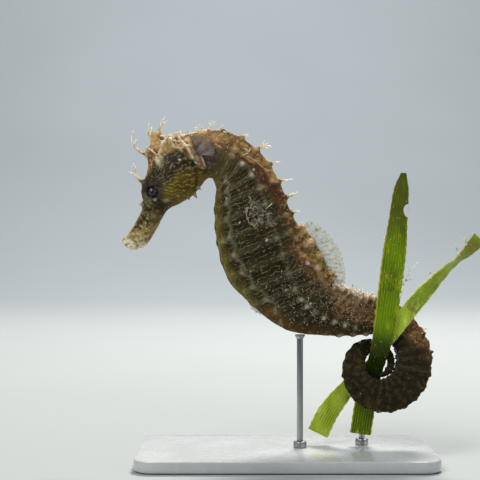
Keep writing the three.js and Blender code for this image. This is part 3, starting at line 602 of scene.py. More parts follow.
def sleeve(name, points):
    """A grid wrapped into a closed sleeve: its columns go once round, its ends close in points."""
    rows, columns = points.shape[:2]
    made, along, across = grid(name, rows - 1, columns - 1)
    row = np.rint(along * (rows - 1)).astype(int)
    column = np.rint(across * (columns - 1)).astype(int)
    set_points(made, points[row, column])
    made.data.uv_layers[0].name = "OFBake"
    return made, row, column


MAP_MARGIN = 0.01
WELD_DISTANCE = 2e-6


def map_point(length, corner, second):
    """A place on the skin's map: two bands, one above the other, each cut open along the back."""
    along = np.clip(length / skin_lengths[-1] * 2 - second, 0, 1)
    around = corner / ROUND
    return np.stack([
        MAP_MARGIN + (1 - 2 * MAP_MARGIN) * along,
        MAP_MARGIN + (0.5 - 2 * MAP_MARGIN) * around + 0.5 * second,
    ], axis=-1)


def unwrap(made, row, column):
    vertex = np.empty(len(made.data.loops), int)
    made.data.loops.foreach_get("vertex_index", vertex)
    face_row = np.repeat(row[vertex].reshape(-1, 4).min(axis=1), 4)
    second = skin_lengths[face_row] / skin_lengths[-1] >= 0.5
    uv = map_point(skin_lengths[row[vertex]], corner_columns[column[vertex]], second)
    made.data.uv_layers["OFBake"].data.foreach_set("uv", uv.ravel())


def add_mark(made, name, values):
    """Gives a mesh a number at each of its vertices, under a name that its material can read."""
    attribute = made.data.attributes.new(name, "FLOAT", "POINT")
    attribute.data.foreach_set("value", np.asarray(values, np.float32))


seahorse_skin, skin_row, skin_column = sleeve("seahorse_skin", skin)
row_steps = np.linalg.norm(np.diff(skin.mean(axis=1), axis=0), axis=1)
skin_lengths = np.concatenate([[0], np.cumsum(row_steps)])
unwrap(seahorse_skin, skin_row, skin_column)

# Where the skin's markings, and its painted highlights and shade, lie, as numbers from 0 to 1 that its
# colours are mixed by. The ring number goes with them. Each white dot is a ring, a corner and a spread.
WHITE_DOTS = [
    (-0.61, 4.33, 0.7), (-1.32, 3.67, 0.5), (2.48, 2.67, 0.5), (3.25, 2.22, 0.45),
    (9.35, 1.67, 0.8), (-1.55, 2.6, 0.4), (4.1, 4.9, 0.4), (7.4, 2.9, 0.45),
    (10.3, 3.4, 0.5), (12.4, 3.2, 0.5), (5.9, 4.1, 0.35), (8.6, 4.4, 0.4),
]
trunk = band(R, 0.8, 2.2, 12, 15)
belly_edge = half_round + 0.2 * warble
belly_band = smoothstep(belly_edge, 5.25, 5.85) * band(R, 0.5, 2, 10.3, 11.2)
# The edge of the golden band, as rings and corners.
GOLD_EDGE = np.array([
    [-3.6, 0.5], [-3.0, 0.8], [-2.4, 1.5], [-1.9, 2.5], [-1.4, 2.75], [-0.95, 3.0], [-0.62, 3.6], [-0.4, 2.8],
    [0.3, 2.6], [1.7, 2.5], [3, 2.35], [4.3, 2.05], [5.5, 1.5], [7.1, 1.45], [8.6, 1.85], [9.5, 1.9],
    [11, 1.6], [13, 2.4], [15, 3.3], [19, 4.2], [21, 4.4], [23, 3.2], [25, 2.4], [30, 1.0],
])
from_gold_edge = half_round + 0.35 * warble - np.interp(R, GOLD_EDGE[:, 0], GOLD_EDGE[:, 1])
# The golden band along the top is partly painted light, from above and behind.
golden = smoothstep(from_gold_edge, 0.35, -0.35)
tail_top = band(R, 11.3, 12.5, 22, 28) * golden
head_top = band(R, -3.5, -2.7, 0.4, 1.4) * golden
in_crown = inward > 0
in_trunk = band(R, 0.4, 1.4, 10.6, 12)
eye_edge = np.maximum(eye_distance - opening, 0)
crown_tips = smoothstep(crown_rise, 0.65 * CROWN_HEIGHT, CROWN_HEIGHT) * in_crown
# The thin cream lines along the top of the nape and back are a painted rim highlight.
nape_rim_highlight = smoothstep(half_round, 1.3, 0.3) * band(R, -1.1, -0.8, -0.1, 0.4)
back_rim_highlight = smoothstep(half_round, 0.8 + 0.5 * smoothstep(R, 11.5, 13), 0.1) * band(R, -0.6, 0.4, 22, 28)
crown_root_line = smoothstep(half_round, 0.7, 0.1) * smoothstep(R, -3.2, -2) * (R < 0)
flank_knobs = knobs * (0.25 * trunk + 0.75 * smoothstep(R, 10.5, 12.5)) * (1 - rolled)
upper_knobs = knobs * smoothstep(R, 5, 3) * smoothstep(half_round, 4, 3)
lower_ridge = smoothstep(half_round, 3.8, 4.3)
eye_reach = 0.95 + 0.6 * np.cos(2 * (eye_angle + 0.75))
marks = {
    "gold": in_trunk * golden + fin_root,
    "root": fin_root,
    "root_edge": np.clip(fin_root * 1.3, 0, 1) * (1 - 0.85 * root_lumps)
        * smoothstep(half_round + 0.2 * warble, 1.65, 1.2),
    # The cream on the tops of the fin-root lumps and the neck cone is partly a painted highlight.
    "lump": root_lumps ** 1.5 + 0.8 * neck_cone ** 2,
    "maroon": band(R, 0.6, 1.6, 8, 12) * bell(from_gold_edge + 0.15, 0.4),
    "tail_top": tail_top,
    "top_lump": 1.5 * top_lumps,
    "crown": 2 * inward,
    "hollow": (1 - nape_web) * smoothstep(nape_zone, 0.1, 0.5) * smoothstep(half_round, 0.5, 1.2)
        + 0.85 * mound(-1.72, 1.75, 2.0),
    "underside": band(R, 11, 12, 17.5, 19.5) * smoothstep(half_round, 4.2, 5.2),
    "head_top": head_top + 0.8 * in_crown + 0.6 * nape_fold,
    # Cream: partly real cream skin, partly a painted rim highlight along the top edges.
    "cream_and_rim_light": back_rim_highlight + nape_web + 0.8 * nape_fold ** 2 + lobe_rim ** 2 + 0.9 * nape_rim_highlight
        + 0.8 * crown_tips + 0.5 * crown_root_line + 0.9 * mound(-0.36, 1.75, 1.5)
        + 0.5 * mound(-0.05, 1.1, 1.8) + 1.3 * mound(-1.95, 2.38, 1.9),
    "pale": flank_knobs * smoothstep(half_round, 1.5, 2.4) + 0.5 * upper_knobs
        + 0.95 * spines ** 1.3 + 0.35 * mound(-3.75, 4.6, 1.2)
        + 0.6 * lobe_rim ** 2 * smoothstep(warble, -0.5, 0.3),
    "lobe": lobe * 2,
    "cone": mound(-1.9, 2.32, 1.8),
    "crust": crust * smoothstep(grain(1.0, 9), -0.5, 0.0),
    "streak": smoothstep(spokes, 0.1, 0.8) * spoke_share,
    "olive": smoothstep(half_round - 0.6 * R + 0.3 * warble, 4.8, 5.8) * band(R, -4.4, -3.4, -1.0, -0.5),
    "belly": belly_band,
    "belly_cell": (1 - crest) * smoothstep(half_round, 6.5, 6.1),
    "light": (0.45 * crest + (0.42 + 0.45 * lower_ridge) * ridges) * trunk
        + 0.12 * crest * smoothstep(R, 12, 15) * (1 - rolled),
    # Painted shade: darkens the middle of each flank.
    "shade": trunk * smoothstep(R, 3.4, 5.2) * bell(half_round - 3.5, 1.0) * (1 - 0.7 * ridges),
    "cell": (1 - crest) * (1 - ridges) * trunk,
    "throat": mound(0.3, 6.4, 4.6) + mound(1.2, 6.9, 3.0),
    "keel": keel,
    "pouch": pouch,
    "snout": smoothstep(R + 0.25 * warble, -3.9, -5.4),
    "snout_top_pink_and_highlight": snout_ridge * smoothstep(warble, -0.7, 0.1),
    "snout_under": smoothstep(half_round, 4.4, 5.6) * snout_share * (0.45 + 0.55 * np.sin(9 * R)),
    "smudge": bell(half_round - 2.2, 1.1) * band(R, -7.2, -6.4, -4.2, -3.6),
    "lips": smoothstep(R, -7.3, -7.8) + chin,
    "wave": wave,
    "line": line_share,
    "rose": band(R, -0.5, -0.1, 0.4, 0.9) * band(half_round, 1.5, 2.4, 4.2, 5.2),
    "neck": band(R, 0.1, 0.8, 1.6, 3),
    "dark": mound(-3.3, 2.6, 4.2) + 0.8 * mound(-2.4, 2.9, 3.0) + 0.9 * mound(-1.5, 3.3, 4.2)
        + 0.7 * mound(-1.3, 2.0, 1.6) + mound(-3.85, 3.35, 2.4) + 0.9 * gill_groove,
    "groove": (1 - crest) * smoothstep(R, 11, 14),
    "rolled": rolled,
    "coil_crest": crest * rolled,
    "eye": np.exp(-eye_edge / 0.35),
    "eye_dark": np.exp(-eye_edge / eye_reach),
    "brow": mound(-4.05, 2.3, 3.2) * smoothstep(eye_distance, 1.3, 2.2),
    "eye_bag": eye_bag,
    "dot": np.maximum.reduce([smoothstep(spot(*dot), 0.2, 0.8) for dot in WHITE_DOTS]),
}
add_mark(seahorse_skin, "ring", R[skin_row, skin_column])
for mark_name, mark_values in marks.items():
    add_mark(seahorse_skin, mark_name, np.clip(mark_values, 0, 1)[skin_row, skin_column])
smooth_outside(weld=WELD_DISTANCE)


def tint(code):
    """A colour written as six hex digits, as the light that it stands for."""
    shares = [int(code[i:i + 2], 16) / 255 for i in (0, 2, 4)]
    return tuple(c / 12.92 if c <= 0.04045 else ((c + 0.055) / 1.055) ** 2.4 for c in shares) + (1,)


class Paint:
    """A material being mixed. Each method adds a node and gives back its output."""

    def __init__(self, name, **finish):
        self.material = bpy.data.materials.new(name)
        self.material.use_nodes = True
        self.tree = self.material.node_tree
        self.shader = self.tree.nodes["Principled BSDF"]
        self.place = self.add("ShaderNodeTexCoord").outputs["Object"]
        for socket, value in finish.items():
            self.set(socket.replace("_", " "), value)

    def add(self, kind, **settings):
        made = self.tree.nodes.new(kind)
        for key, value in settings.items():
            setattr(made, key, value)
        return made

    def put(self, socket, value):
        """Sets a socket to a value or an output. A colour may be given by its code, and a number by
        a mark's name or by what an ease is made from."""
        if isinstance(value, str):
            value = tint(value) if socket.type == "RGBA" else self.mark(value)
        elif isinstance(value, tuple) and socket.type == "VALUE":
            value = self.ease(*value)
        if isinstance(value, bpy.types.NodeSocket):
            self.tree.links.new(value, socket)
        else:
            socket.default_value = value

    def set(self, socket, value):
        self.put(self.shader.inputs[socket], value)

    def mark(self, name):
        return self.add("ShaderNodeAttribute", attribute_name=name).outputs["Fac"]

    def math(self, operation, *values, clamp=False):
        made = self.add("ShaderNodeMath", operation=operation, use_clamp=clamp)
        for socket, value in zip(made.inputs, values):
            self.put(socket, value)
        return made.outputs[0]

    def times(self, *shares):
        product = shares[0]
        for share in shares[1:]:
            product = self.math("MULTIPLY", product, share)
        return product

    def ease(self, value, start, end, low=0.0, high=1.0):
        made = self.add("ShaderNodeMapRange", interpolation_type="SMOOTHSTEP")
        for socket, number in zip(made.inputs, (value, start, end, low, high)):
            self.put(socket, number)
        return made.outputs[0]

    def mix(self, share, first, second):
        made = self.add("ShaderNodeMix", data_type="RGBA")
        for socket, value in zip((0, 6, 7), (share, first, second)):
            self.put(made.inputs[socket], value)
        return made.outputs[2]

    def layers(self, color, *layers):
        """Lays colours over a first one. Each layer is a colour and the shares that it shows by."""
        for second, *shares in layers:
            color = self.mix(self.times(*shares), color, second)
        return color

    def noise(self, scale, detail=2.0, roughness=0.5, stretch=None):
        where = self.place
        if stretch is not None:
            mapping = self.add("ShaderNodeMapping")
            self.put(mapping.inputs["Vector"], where)
            mapping.inputs["Scale"].default_value = stretch
            where = mapping.outputs[0]
        made = self.add("ShaderNodeTexNoise")
        self.put(made.inputs["Vector"], where)
        for socket, value in (("Scale", scale), ("Detail", detail), ("Roughness", roughness)):
            made.inputs[socket].default_value = value
        return made.outputs["Fac"]

    def cells(self, scale):
        made = self.add("ShaderNodeTexVoronoi")
        self.put(made.inputs["Vector"], self.place)
        made.inputs["Scale"].default_value = scale
        return made.outputs["Distance"]

    def from_place(self, x, z):
        """How far a point is across and above a place, given in metres."""
        parts = self.add("ShaderNodeSeparateXYZ")
        self.put(parts.inputs[0], self.place)
        return self.math("SUBTRACT", parts.outputs[0], x), self.math("SUBTRACT", parts.outputs[2], z)

    def bump(self, *layers):
        """Each layer is a height and how many metres high it stands."""
        normal = None
        for height, distance in layers:
            made = self.add("ShaderNodeBump")
            self.put(made.inputs["Height"], height)
            made.inputs["Distance"].default_value = distance
            if normal is not None:
                self.put(made.inputs["Normal"], normal)
            normal = made.outputs[0]
        self.set("Normal", normal)

    def cover(self, *pieces):
        for piece in pieces:
            piece.data.materials.clear()
            piece.data.materials.append(self.material)


paint = Paint("seahorse_hide", Specular_IOR_Level=0.1, Subsurface_Weight=0.08, Subsurface_Scale=0.001)
paint.set("Subsurface Radius", (1.0, 0.55, 0.25))
wobble = paint.noise(420, 2)
mottle = paint.noise(900, 4, 0.6)
patches = paint.noise(230, 3, 0.6)
fine = paint.noise(2600, 3, 0.6)

# The trunk is dark olive brown, lighter on the crest of each ring and along the ridges, and darkest
# in the cells between them. Fine broken tan lines run round it, three or four to a ring.
drift = paint.math("MULTIPLY_ADD", wobble, 1.5, paint.times("ring", LINES_PER_RING))
tan_line = paint.math("COSINE", paint.times(drift, 2 * math.pi))
belly_color = paint.layers(
    "7a7030",
    ("5c4e14", (patches, 0.4, 0.62)),
    ("968b4a", (mottle, 0.5, 0.66)),
    ("33300f", "belly_cell", (mottle, 0.35, 0.6, 0.2, 0.8)),
)
color = paint.layers(
    "2c240f",
    ("423819", (patches, 0.4, 0.6)),
    (paint.mix((mottle, 0.4, 0.62), "4a4024", "5d5233"), "neck", 0.85),
    ("6b6950", "light", (mottle, 0.25, 0.6, 0.4, 0.85)),
    ("181206", "cell", (mottle, 0.38, 0.6), 0.8),
    # Painted shade over the middle of the flank.
    ("1a1508", "shade", 0.5),
    ("8f8058", (tan_line, 0.72, 0.985), (mottle, 0.42, 0.56), "line", 0.54),
    (belly_color, "belly", 0.92),
)

# The head has olive cheeks, a dark eye patch and gill cover, and a golden top and crown. The gold on top is
# partly painted light from above and behind.
cheek_color = paint.layers(
    "7a6418",
    ("56460e", (patches, 0.4, 0.62)),
    ("6e4a12", (paint.noise(330, 2), 0.58, 0.68, 0.0, 0.7)),
)
head_top_color = paint.layers(
    "a98550",
    ("6b4524", (patches, 0.42, 0.58)),
    ("cfb07c", (mottle, 0.5, 0.64)),
    ("5c3519", (paint.noise(300, 3, 0.6), 0.6, 0.68, 0.0, 0.8)),
    ("f8d48c", "crown", (mottle, 0.35, 0.6, 0.7, 1.0)),
)
color = paint.layers(
    color,
    (cheek_color, "olive", 0.92),
    (paint.mix((mottle, 0.4, 0.62), "241a12", "44352a"), "dark", 0.9),
    (paint.mix("olive", "8d8573", "a49a58"), "wave", (mottle, 0.34, 0.54, 0.1, 0.8)),
    (paint.mix((mottle, 0.4, 0.6), "80601f", "635829"), "throat", 0.8),
    ("8d8c62", "brow", (mottle, 0.4, 0.56, 0.0, 0.85)),
    (paint.mix((mottle, 0.4, 0.62), "6f5d55", "4b3c35"), "rose", 0.9),
    (head_top_color, "head_top", 0.92),
    ("55331a", "hollow", (mottle, 0.3, 0.5, 0.4, 0.9)),
    (paint.mix((mottle, 0.4, 0.6), "a98b68", "7c5e48"), "lobe", 0.85),
)

# The back, the root of the back fin and the top of the tail are golden, with pale lumps. The gold and the
# pale lump tops are partly painted light from above and behind. A crust has settled on the flank, and the
# pouch is brown.
gold_color = paint.layers(
    "a58450",
    ("75552d", (patches, 0.46, 0.6)),
    ("cba875", (mottle, 0.5, 0.64)),
    ("6d4426", (paint.noise(420, 4, 0.7), 0.56, 0.62, 0.0, 0.75)),
    ("4a3a1a", "root", (fine, 0.52, 0.6), 0.8),
)
banding = paint.math("MULTIPLY_ADD", "groove", 0.12, paint.times(mottle, 1.9))
tail_top_color = paint.layers(
    "94714c",
    ("452c15", (banding, 0.8, 1.15)),
    ("7a4a2a", (patches, 0.52, 0.62, 0.0, 0.5)),
    ("c39f74", (mottle, 0.56, 0.64)),
    ("fae6c2", "top_lump", (mottle, 0.36, 0.52, 0.4, 1.0)),
)
crust_share = paint.times("crust", (mottle, 0.34, 0.46))
root_edge_color = paint.mix((paint.noise(1500, 3, 0.6), 0.46, 0.56), "3d3410", "a98a3c")
color = paint.layers(
    color,
    (gold_color, "gold", 0.94),
    ("45241a", "maroon", (patches, 0.44, 0.56, 0.1, 0.85)),
    (paint.mix((fine, 0.4, 0.6), "5e5c4a", "908b78"), crust_share),
    # Cream lump tops: partly a painted highlight.
    ("e2c096", "lump", (mottle, 0.35, 0.6, 0.4, 1.0)),
    (root_edge_color, "root_edge", 0.9),
    (tail_top_color, "tail_top", 0.88),
    (paint.mix((patches, 0.38, 0.62), "6a4f12", "46310a"), "pouch", 0.95),
    (paint.mix((patches, 0.42, 0.58), "553613", "3a2a0c"), "underside", 0.85),
)

# The snout is tan, with a pink ridge on top that is partly a painted highlight, dark smudges beside it, a
# rusty underside and pale lips.
smudge = paint.math("MULTIPLY_ADD", "smudge", 0.14, paint.noise(700, 4, 0.6))
snout_color = paint.layers(
    "94824c",
    ("5f5226", (patches, 0.45, 0.6)),
    ("c4b488", (mottle, 0.48, 0.62)),
    ("9a4f22", "snout_under", (mottle, 0.38, 0.58)),
    ("2a2410", (smudge, 0.54, 0.63, 0.0, 0.9)),
    ("302812", ("ring", -6.0, -4.8), (mottle, 0.36, 0.54, 0.35, 0.95)),
    ("eccaa6", "snout_top_pink_and_highlight", 0.9),
)
lip_color = paint.mix((mottle, 0.4, 0.6), "d2b67e", "f6ead0")

# The rolled tail is dark brown grey, with fine rings.
fine_ring = paint.times(paint.math("MULTIPLY_ADD", wobble, 1.2, "ring"), 5 * math.pi)
coil_color = paint.layers(
    "1d1809",
    ("332c16", (mottle, 0.4, 0.65)),
    ("443a27", "coil_crest", (mottle, 0.36, 0.62), 0.6),
    ("4c3c1c", (patches, 0.58, 0.68, 0.0, 0.7)),
    ("5e5640", (paint.math("COSINE", fine_ring), 0.2, 1.0), (mottle, 0.4, 0.6), 0.28),
    ("130f07", "groove", (mottle, 0.3, 0.6), 0.7),
)
color = paint.layers(
    color,
    (snout_color, "snout"),
    (lip_color, "lips", (mottle, 0.3, 0.55, 0.55, 1.0)),
    (coil_color, "rolled", paint.math("SUBTRACT", 1.0, "tail_top"), 0.92),
)

# Cream edges, which along the top of the head, back and tail are partly a painted rim highlight; the dark
# round the eye, pale knobs and spines, and small white specks and dots.
specks = paint.noise(1500, 2, 0.5)
small_dots = paint.times((paint.cells(700), 0.12, 0.05), (paint.noise(190, 1), 0.54, 0.62), 0.5)
color = paint.layers(
    color,
    ("efd9b2", "cream_and_rim_light", (mottle, 0.35, 0.6, 0.4, 1.0)),
    ("16100d", "eye_dark", (mottle, 0.35, 0.55, 0.6, 1.0)),
    ("5a5048", "streak", 0.35),
    ("5a4d4c", "eye_bag", (mottle, 0.35, 0.6, 0.1, 0.7)),
    ("0f0d0b", "eye"),
    ("e6dabb", "pale", (mottle, 0.36, 0.56, 0.25, 0.95)),
    ("fdeeb4", "cone", (mottle, 0.3, 0.55, 0.7, 1.0)),
    ("0e0d09", "keel", 0.9),
    ("a59f88", (specks, 0.6, 0.68), paint.math("SUBTRACT", 1.0, "rolled"), 0.3),
    ("dfdcd2", paint.math("MAXIMUM", small_dots, "dot")),
)
paint.set("Base Color", color)
paint.set("Roughness", (mottle, 0.3, 0.7, 0.38, 0.6))
paint.bump((fine, 0.00012), (mottle, 0.00025), (crust_share, 0.0004))
paint.cover(seahorse_skin)
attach(seahorse_skin, "root")
FLESH_NODES = [
    "upper_jaw", "lower_jaw", "snout", "head", "gill_cover_left", "gill_cover_right", "coronet", "neck",
    "trunk_upper", "trunk_middle", "trunk_lower", "tail_base", "brood_pouch", "tail_upper", "tail_tip",
]
FLESH_NODES += [f"tail_roll_{number}" for number in range(1, 8)]
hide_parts(*FLESH_NODES)


# ---- Eyes -----------------------------------------------------------------------------------
# Each eye is a wet ball set deep in its turret, with a clear dome over a round black pupil. The iris
# is dark, with grey streaks that run out from a thin bronze ring.
EYE_DOME_RADIUS = 0.8
EYE_DOME_HEIGHT = 0.2
PUPIL_RADIUS = 0.5
PUPIL_EDGE = 0.04
IRIS_RING_WIDTH = 0.06
IRIS_STREAKS = 13
eyes = []
for name, side in (("left", -1), ("right", 1)):
    place = Vector((EYE_PLACE[0], side * EYE_PLACE[1], EYE_PLACE[2])) * MM
    bpy.ops.mesh.primitive_uv_sphere_add(
        segments=48, ring_count=32, radius=EYE_RADIUS * MM,
        location=place, rotation=(math.radians(90), 0, 0))
    eye = bpy.context.object
    eye.name = eye.data.name = f"eyeball_{name}"
    bpy.ops.object.transform_apply(location=True, rotation=True, scale=True)
    for vertex in eye.data.vertices:
        from_middle = vertex.co - place
        reach = math.hypot(from_middle.x, from_middle.z) / (EYE_DOME_RADIUS * MM)
        if reach < 1 and from_middle.y * side > 0:
            vertex.co.y += side * EYE_DOME_HEIGHT * MM * (1 - reach ** 2) ** 2
    bpy.ops.object.shade_smooth()
    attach(eye, "root")
    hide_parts(f"eye_{name}")
    eyes.append(eye)
paint = Paint("wet_eye", Roughness=0.25, Specular_IOR_Level=0.3, Coat_Weight=0.25, Coat_Roughness=0.1)
across, above = paint.from_place(EYE_PLACE[0] * MM, EYE_PLACE[2] * MM)
reach = paint.math("SQRT", paint.math("ADD", paint.times(across, across), paint.times(above, above)))
reach = paint.math("DIVIDE", reach, MM)
turned = paint.times(paint.math("ARCTAN2", above, across), IRIS_STREAKS)
streaks = paint.math("SINE", paint.math("MULTIPLY_ADD", paint.noise(1500, 2), 7.0, turned))
iris_color = paint.layers(
    "101014",
    ("54555f", (streaks, 0.1, 0.9), (paint.noise(900, 2), 0.42, 0.6, 0.1, 0.9)),
    ("15110f", (reach, 0.85, 1.2)),
)
paint.set("Base Color", paint.layers(
    "020202",
    ("33291b", (reach, PUPIL_RADIUS - PUPIL_EDGE, PUPIL_RADIUS + PUPIL_EDGE / 2)),
    (iris_color, (reach, PUPIL_RADIUS + PUPIL_EDGE, PUPIL_RADIUS + PUPIL_EDGE + IRIS_RING_WIDTH)),
))
paint.cover(*eyes)


# ---- Skin threads ---------------------------------------------------------------------------
# Feelers of bare skin grow from the spines of the head, neck and back, and branch like twigs. Finer
# threads and curls stand on the root of the back fin, on the tail and low on the flanks.
MAP_PATCH = 0.003
STRAIGHT = 1e-3
WAVER = 0.05
WAVER_STEP = 7
LUMP_STEP = 1.9
TIP_SHARE = 0.45
rng = np.random.default_rng(23)
skin_out = slopes(skin)[2]


def unit(vectors):
    return vectors / np.maximum(np.linalg.norm(vectors, axis=-1, keepdims=True), 1e-9)


def surface(ring, corner):
    """The place, the way out and the map point of the skin, at ring numbers and corner numbers."""
    ring = np.atleast_1d(ring).astype(float)
    corner = np.mod(np.atleast_1d(corner).astype(float), ROUND)
    row = np.interp(ring, ring_rows, np.arange(len(ring_rows)))
    column = np.interp(corner, corner_columns, np.arange(len(corner_columns)))
    low_row = np.minimum(row.astype(int), len(ring_rows) - 2)
    low_column = np.minimum(column.astype(int), len(corner_columns) - 2)
    down, over = (row - low_row)[:, None], (column - low_column)[:, None]

    def blend(values):
        first = values[low_row, low_column] * (1 - over) + values[low_row, low_column + 1] * over
        second = values[low_row + 1, low_column] * (1 - over) + values[low_row + 1, low_column + 1] * over
        return first * (1 - down) + second * down

    length = np.interp(ring, ring_rows, skin_lengths)
    second_band = length >= skin_lengths[-1] / 2
    return blend(skin), unit(blend(skin_out)), map_point(length, corner, second_band)


def heading_way(heading, lean=0.0, hand=0.0):
    """A heading up from +X in the X-Z plane, leant out of it to one hand."""
    up, out = np.radians(heading), np.radians(lean)
    return np.array([np.cos(up) * np.cos(out), hand * np.sin(out), np.sin(up) * np.cos(out)])


# A thread is a row of numbers, and these are its columns.
ROOT, WAY, SIDE = slice(0, 3), slice(3, 6), slice(6, 9)
LENGTH, CURL, RADIUS = slice(9, 10), slice(10, 11), slice(11, 12)
MAP_PLACE, START, TONE = slice(12, 14), slice(14, 15), slice(15, 16)
THREAD_COLUMNS = (ROOT, WAY, SIDE, LENGTH, CURL, RADIUS, MAP_PLACE, START, TONE)


class Threads:
    """Threads to be grown together as one mesh. Each leaves its root one way and curls to a side."""

    def __init__(self):
        self.rows = []

    def add(self, root, way, side, length, curl, radius, at, start=0.0, tone=0.0):
        """start is where a twig begins on its feeler, from root to tip, and tone picks its colour."""
        parts = (root, way, side, length, curl, radius, at, start, tone)
        count = max(len(np.atleast_2d(root)), len(np.atleast_2d(way)), np.size(length))
        rows = np.empty((count, TONE.stop))
        for part, columns in zip(parts, THREAD_COLUMNS):
            rows[:, columns] = np.reshape(part, (-1, columns.stop - columns.start))
        self.rows.append(rows)

    @staticmethod
    def along(rows, share):
        """Points and headings of threads at shares of their length, on arcs."""
        rows = rows[:, None]
        root, way, side, length = (rows[..., columns] for columns in (ROOT, WAY, SIDE, LENGTH))
        bend = np.radians(rows[..., CURL])
        bend = np.where(np.abs(bend) < STRAIGHT, STRAIGHT, bend)
        turned = bend * np.asarray(share)[None, :, None]
        point = root + length * (np.sin(turned) * way + (1 - np.cos(turned)) * side) / bend
        return point, np.cos(turned) * way + np.sin(turned) * side

    def grow(self, name, sides=5, steps=5, lumps=0.0, taper=0.5):
        """Makes the mesh: a bar cut into steps, copied once for each thread, then bent and thinned."""
        rows = np.concatenate(self.rows)
        count = len(rows)
        bpy.ops.mesh.primitive_cylinder_add(vertices=sides, radius=1, depth=1)
        made = bpy.context.object
        made.name = made.data.name = name
        bpy.ops.object.mode_set(mode="EDIT")
        for step in range(1, steps):
            bpy.ops.mesh.select_all(action="SELECT")
            bpy.ops.mesh.bisect(plane_co=(0, 0, step / steps - 0.5), plane_no=(0, 0, 1))
        bpy.ops.object.mode_set(mode="OBJECT")
        modify(made, "ARRAY", count=count, use_relative_offset=False)
        local = coordinates(made).reshape(count, -1, 3)
        level = np.rint((local[0, :, 2] + 0.5) * steps).astype(int)
        share = np.arange(steps + 1) / steps
        point, ahead = self.along(rows, share)
        flank = np.cross(rows[:, WAY], rows[:, SIDE])[:, None]
        third = np.cross(ahead, flank)
        phase = rng.uniform(0, 2 * math.pi, (count, 1))
        lump = 1 + lumps * np.sin(share * steps * LUMP_STEP + phase)
        thick = rows[:, RADIUS] * (1 - taper * share) * lump
        thick[:, -1] *= TIP_SHARE
        thick = thick[:, level, None]
        waver = WAVER * rows[:, LENGTH] * np.sin(share * WAVER_STEP + phase)
        point = point + waver[..., None] * flank
        turned = local[..., 0:1] * flank + local[..., 1:2] * third[:, level]
        set_points(made, point[:, level] + thick * turned)
        loops = np.empty(len(made.data.loops), int)
        made.data.loops.foreach_get("vertex_index", loops)
        patch = rows[:, None, MAP_PLACE] + MAP_PATCH * local[..., [0, 2]] / [2, 1]
        patch = np.clip(patch.reshape(-1, 2)[loops], 0, 1)
        made.data.uv_layers[0].name = "OFBake"
        made.data.uv_layers[0].data.foreach_set("uv", patch.ravel())
        start = rows[:, START]
        add_mark(made, "along", (start + (1 - start) * share[level]).ravel())
        add_mark(made, "tone", np.broadcast_to(rows[:, TONE], local.shape[:2]).ravel())
        smooth_outside()
        return made


# Feelers: ring, corner, heading, lean, length, curl, root radius and twigs. Each twig is a share of
# the feeler's length, a heading and a length. Those off the middle of the back stand in pairs.
FEELERS = [
    (-3.2, 0.4, 143, 10, 5.0, -62, 0.38, [(0.25, 138, 2.4), (0.8, 60, 0.5)]),
    (-2.0, 0.0, 168, 0, 7.0, -106, 0.32, [(0.46, 72, 1.9), (0.2, 104, 1.1), (0.9, 20, 0.5)]),
    (-1.84, 2.3, 134, 20, 4.0, 14, 0.22, [(0.6, 158, 0.9), (0.85, 100, 0.5)]),
    (-0.95, 1.55, 224, 30, 3.0, 14, 0.22, [(0.75, 170, 0.7), (0.5, 265, 0.5)]),
    (-0.07, 0.5, 92, 12, 1.4, 10, 0.24, [(0.6, 130, 0.5)]),
    (0.06, 0.6, 98, 10, 2.0, 14, 0.26, [(0.5, 70, 0.6), (0.7, 130, 0.5)]),
    (0.17, 0.7, 62, 12, 3.0, -28, 0.28, [(0.5, 100, 1.2), (0.75, 8, 0.6)]),
    (0.46, 0.8, 82, 10, 1.0, -10, 0.22, []),
    (1.5, 1.0, 40, 10, 1.7, -50, 0.20, [(0.6, 80, 0.5)]),
    (2.5, 1.0, 28, 10, 3.4, -46, 0.28, [(0.25, 52, 1.8), (0.55, 58, 1.1), (0.7, -30, 0.9)]),
    (3.5, 1.0, 8, 8, 2.5, -10, 0.16, [(0.6, 40, 0.4)]),
    (4.5, 1.0, 4, 8, 3.1, -6, 0.16, [(0.8, 50, 0.5)]),
    (5.5, 1.0, 28, 12, 2.6, -18, 0.32, [(0.4, 70, 0.8), (0.6, -20, 1.0), (0.8, 60, 0.6)]),
    (6.5, 1.0, 8, 12, 1.6, -6, 0.24, [(0.5, 50, 0.5)]),
    (7.4, 0.8, 70, 10, 1.0, 0, 0.24, []),
    (12.6, 1.2, 100, 14, 0.9, 10, 0.24, [(0.5, 60, 0.5), (0.5, 140, 0.4)]),
    (13.4, 1.5, 84, 14, 1.2, -10, 0.26, [(0.5, 40, 0.6), (0.4, 130, 0.5)]),
    (14.4, 1.6, 96, 14, 1.3, 10, 0.26, [(0.5, 60, 0.6), (0.6, 140, 0.5)]),
    (15.5, 1.8, 92, 14, 2.2, 4, 0.18, [(0.7, 50, 0.6), (0.3, 140, 0.6)]),
    (16.5, 1.8, 88, 14, 1.0, -10, 0.22, [(0.5, 40, 0.5)]),
    (22.5, 1.8, 0, 10, 1.4, 10, 0.2, []),
]
# The crown's own feelers: bearing round its rim, heading, length, curl, root radius and twigs.
CROWN_FEELERS = [
    (-12, 92, 2.6, -12, 0.24, [(0.75, 130, 0.4)]),
    (208, 68, 3.5, -6, 0.30, [(0.4, 24, 2.2), (0.75, 120, 0.5), (0.6, 50, 0.7)]),
    (150, 74, 2.0, 10, 0.22, [(0.5, 40, 0.7)]),
    (60, 108, 1.6, -20, 0.20, []),
]
FEELER_SUNK = 0.5
SHORTER_RIGHT = 0.85
BUD_SPACING = 0.75
THREAD_SUNK = 0.06
RAKE_PULL = 1.5
TWIG_RADIUS_SHARE = 0.72
BUD_RADIUS_SHARE = 0.6
LONG_TWIG = 0.8
CROWN_RIM_REACH = 1.6


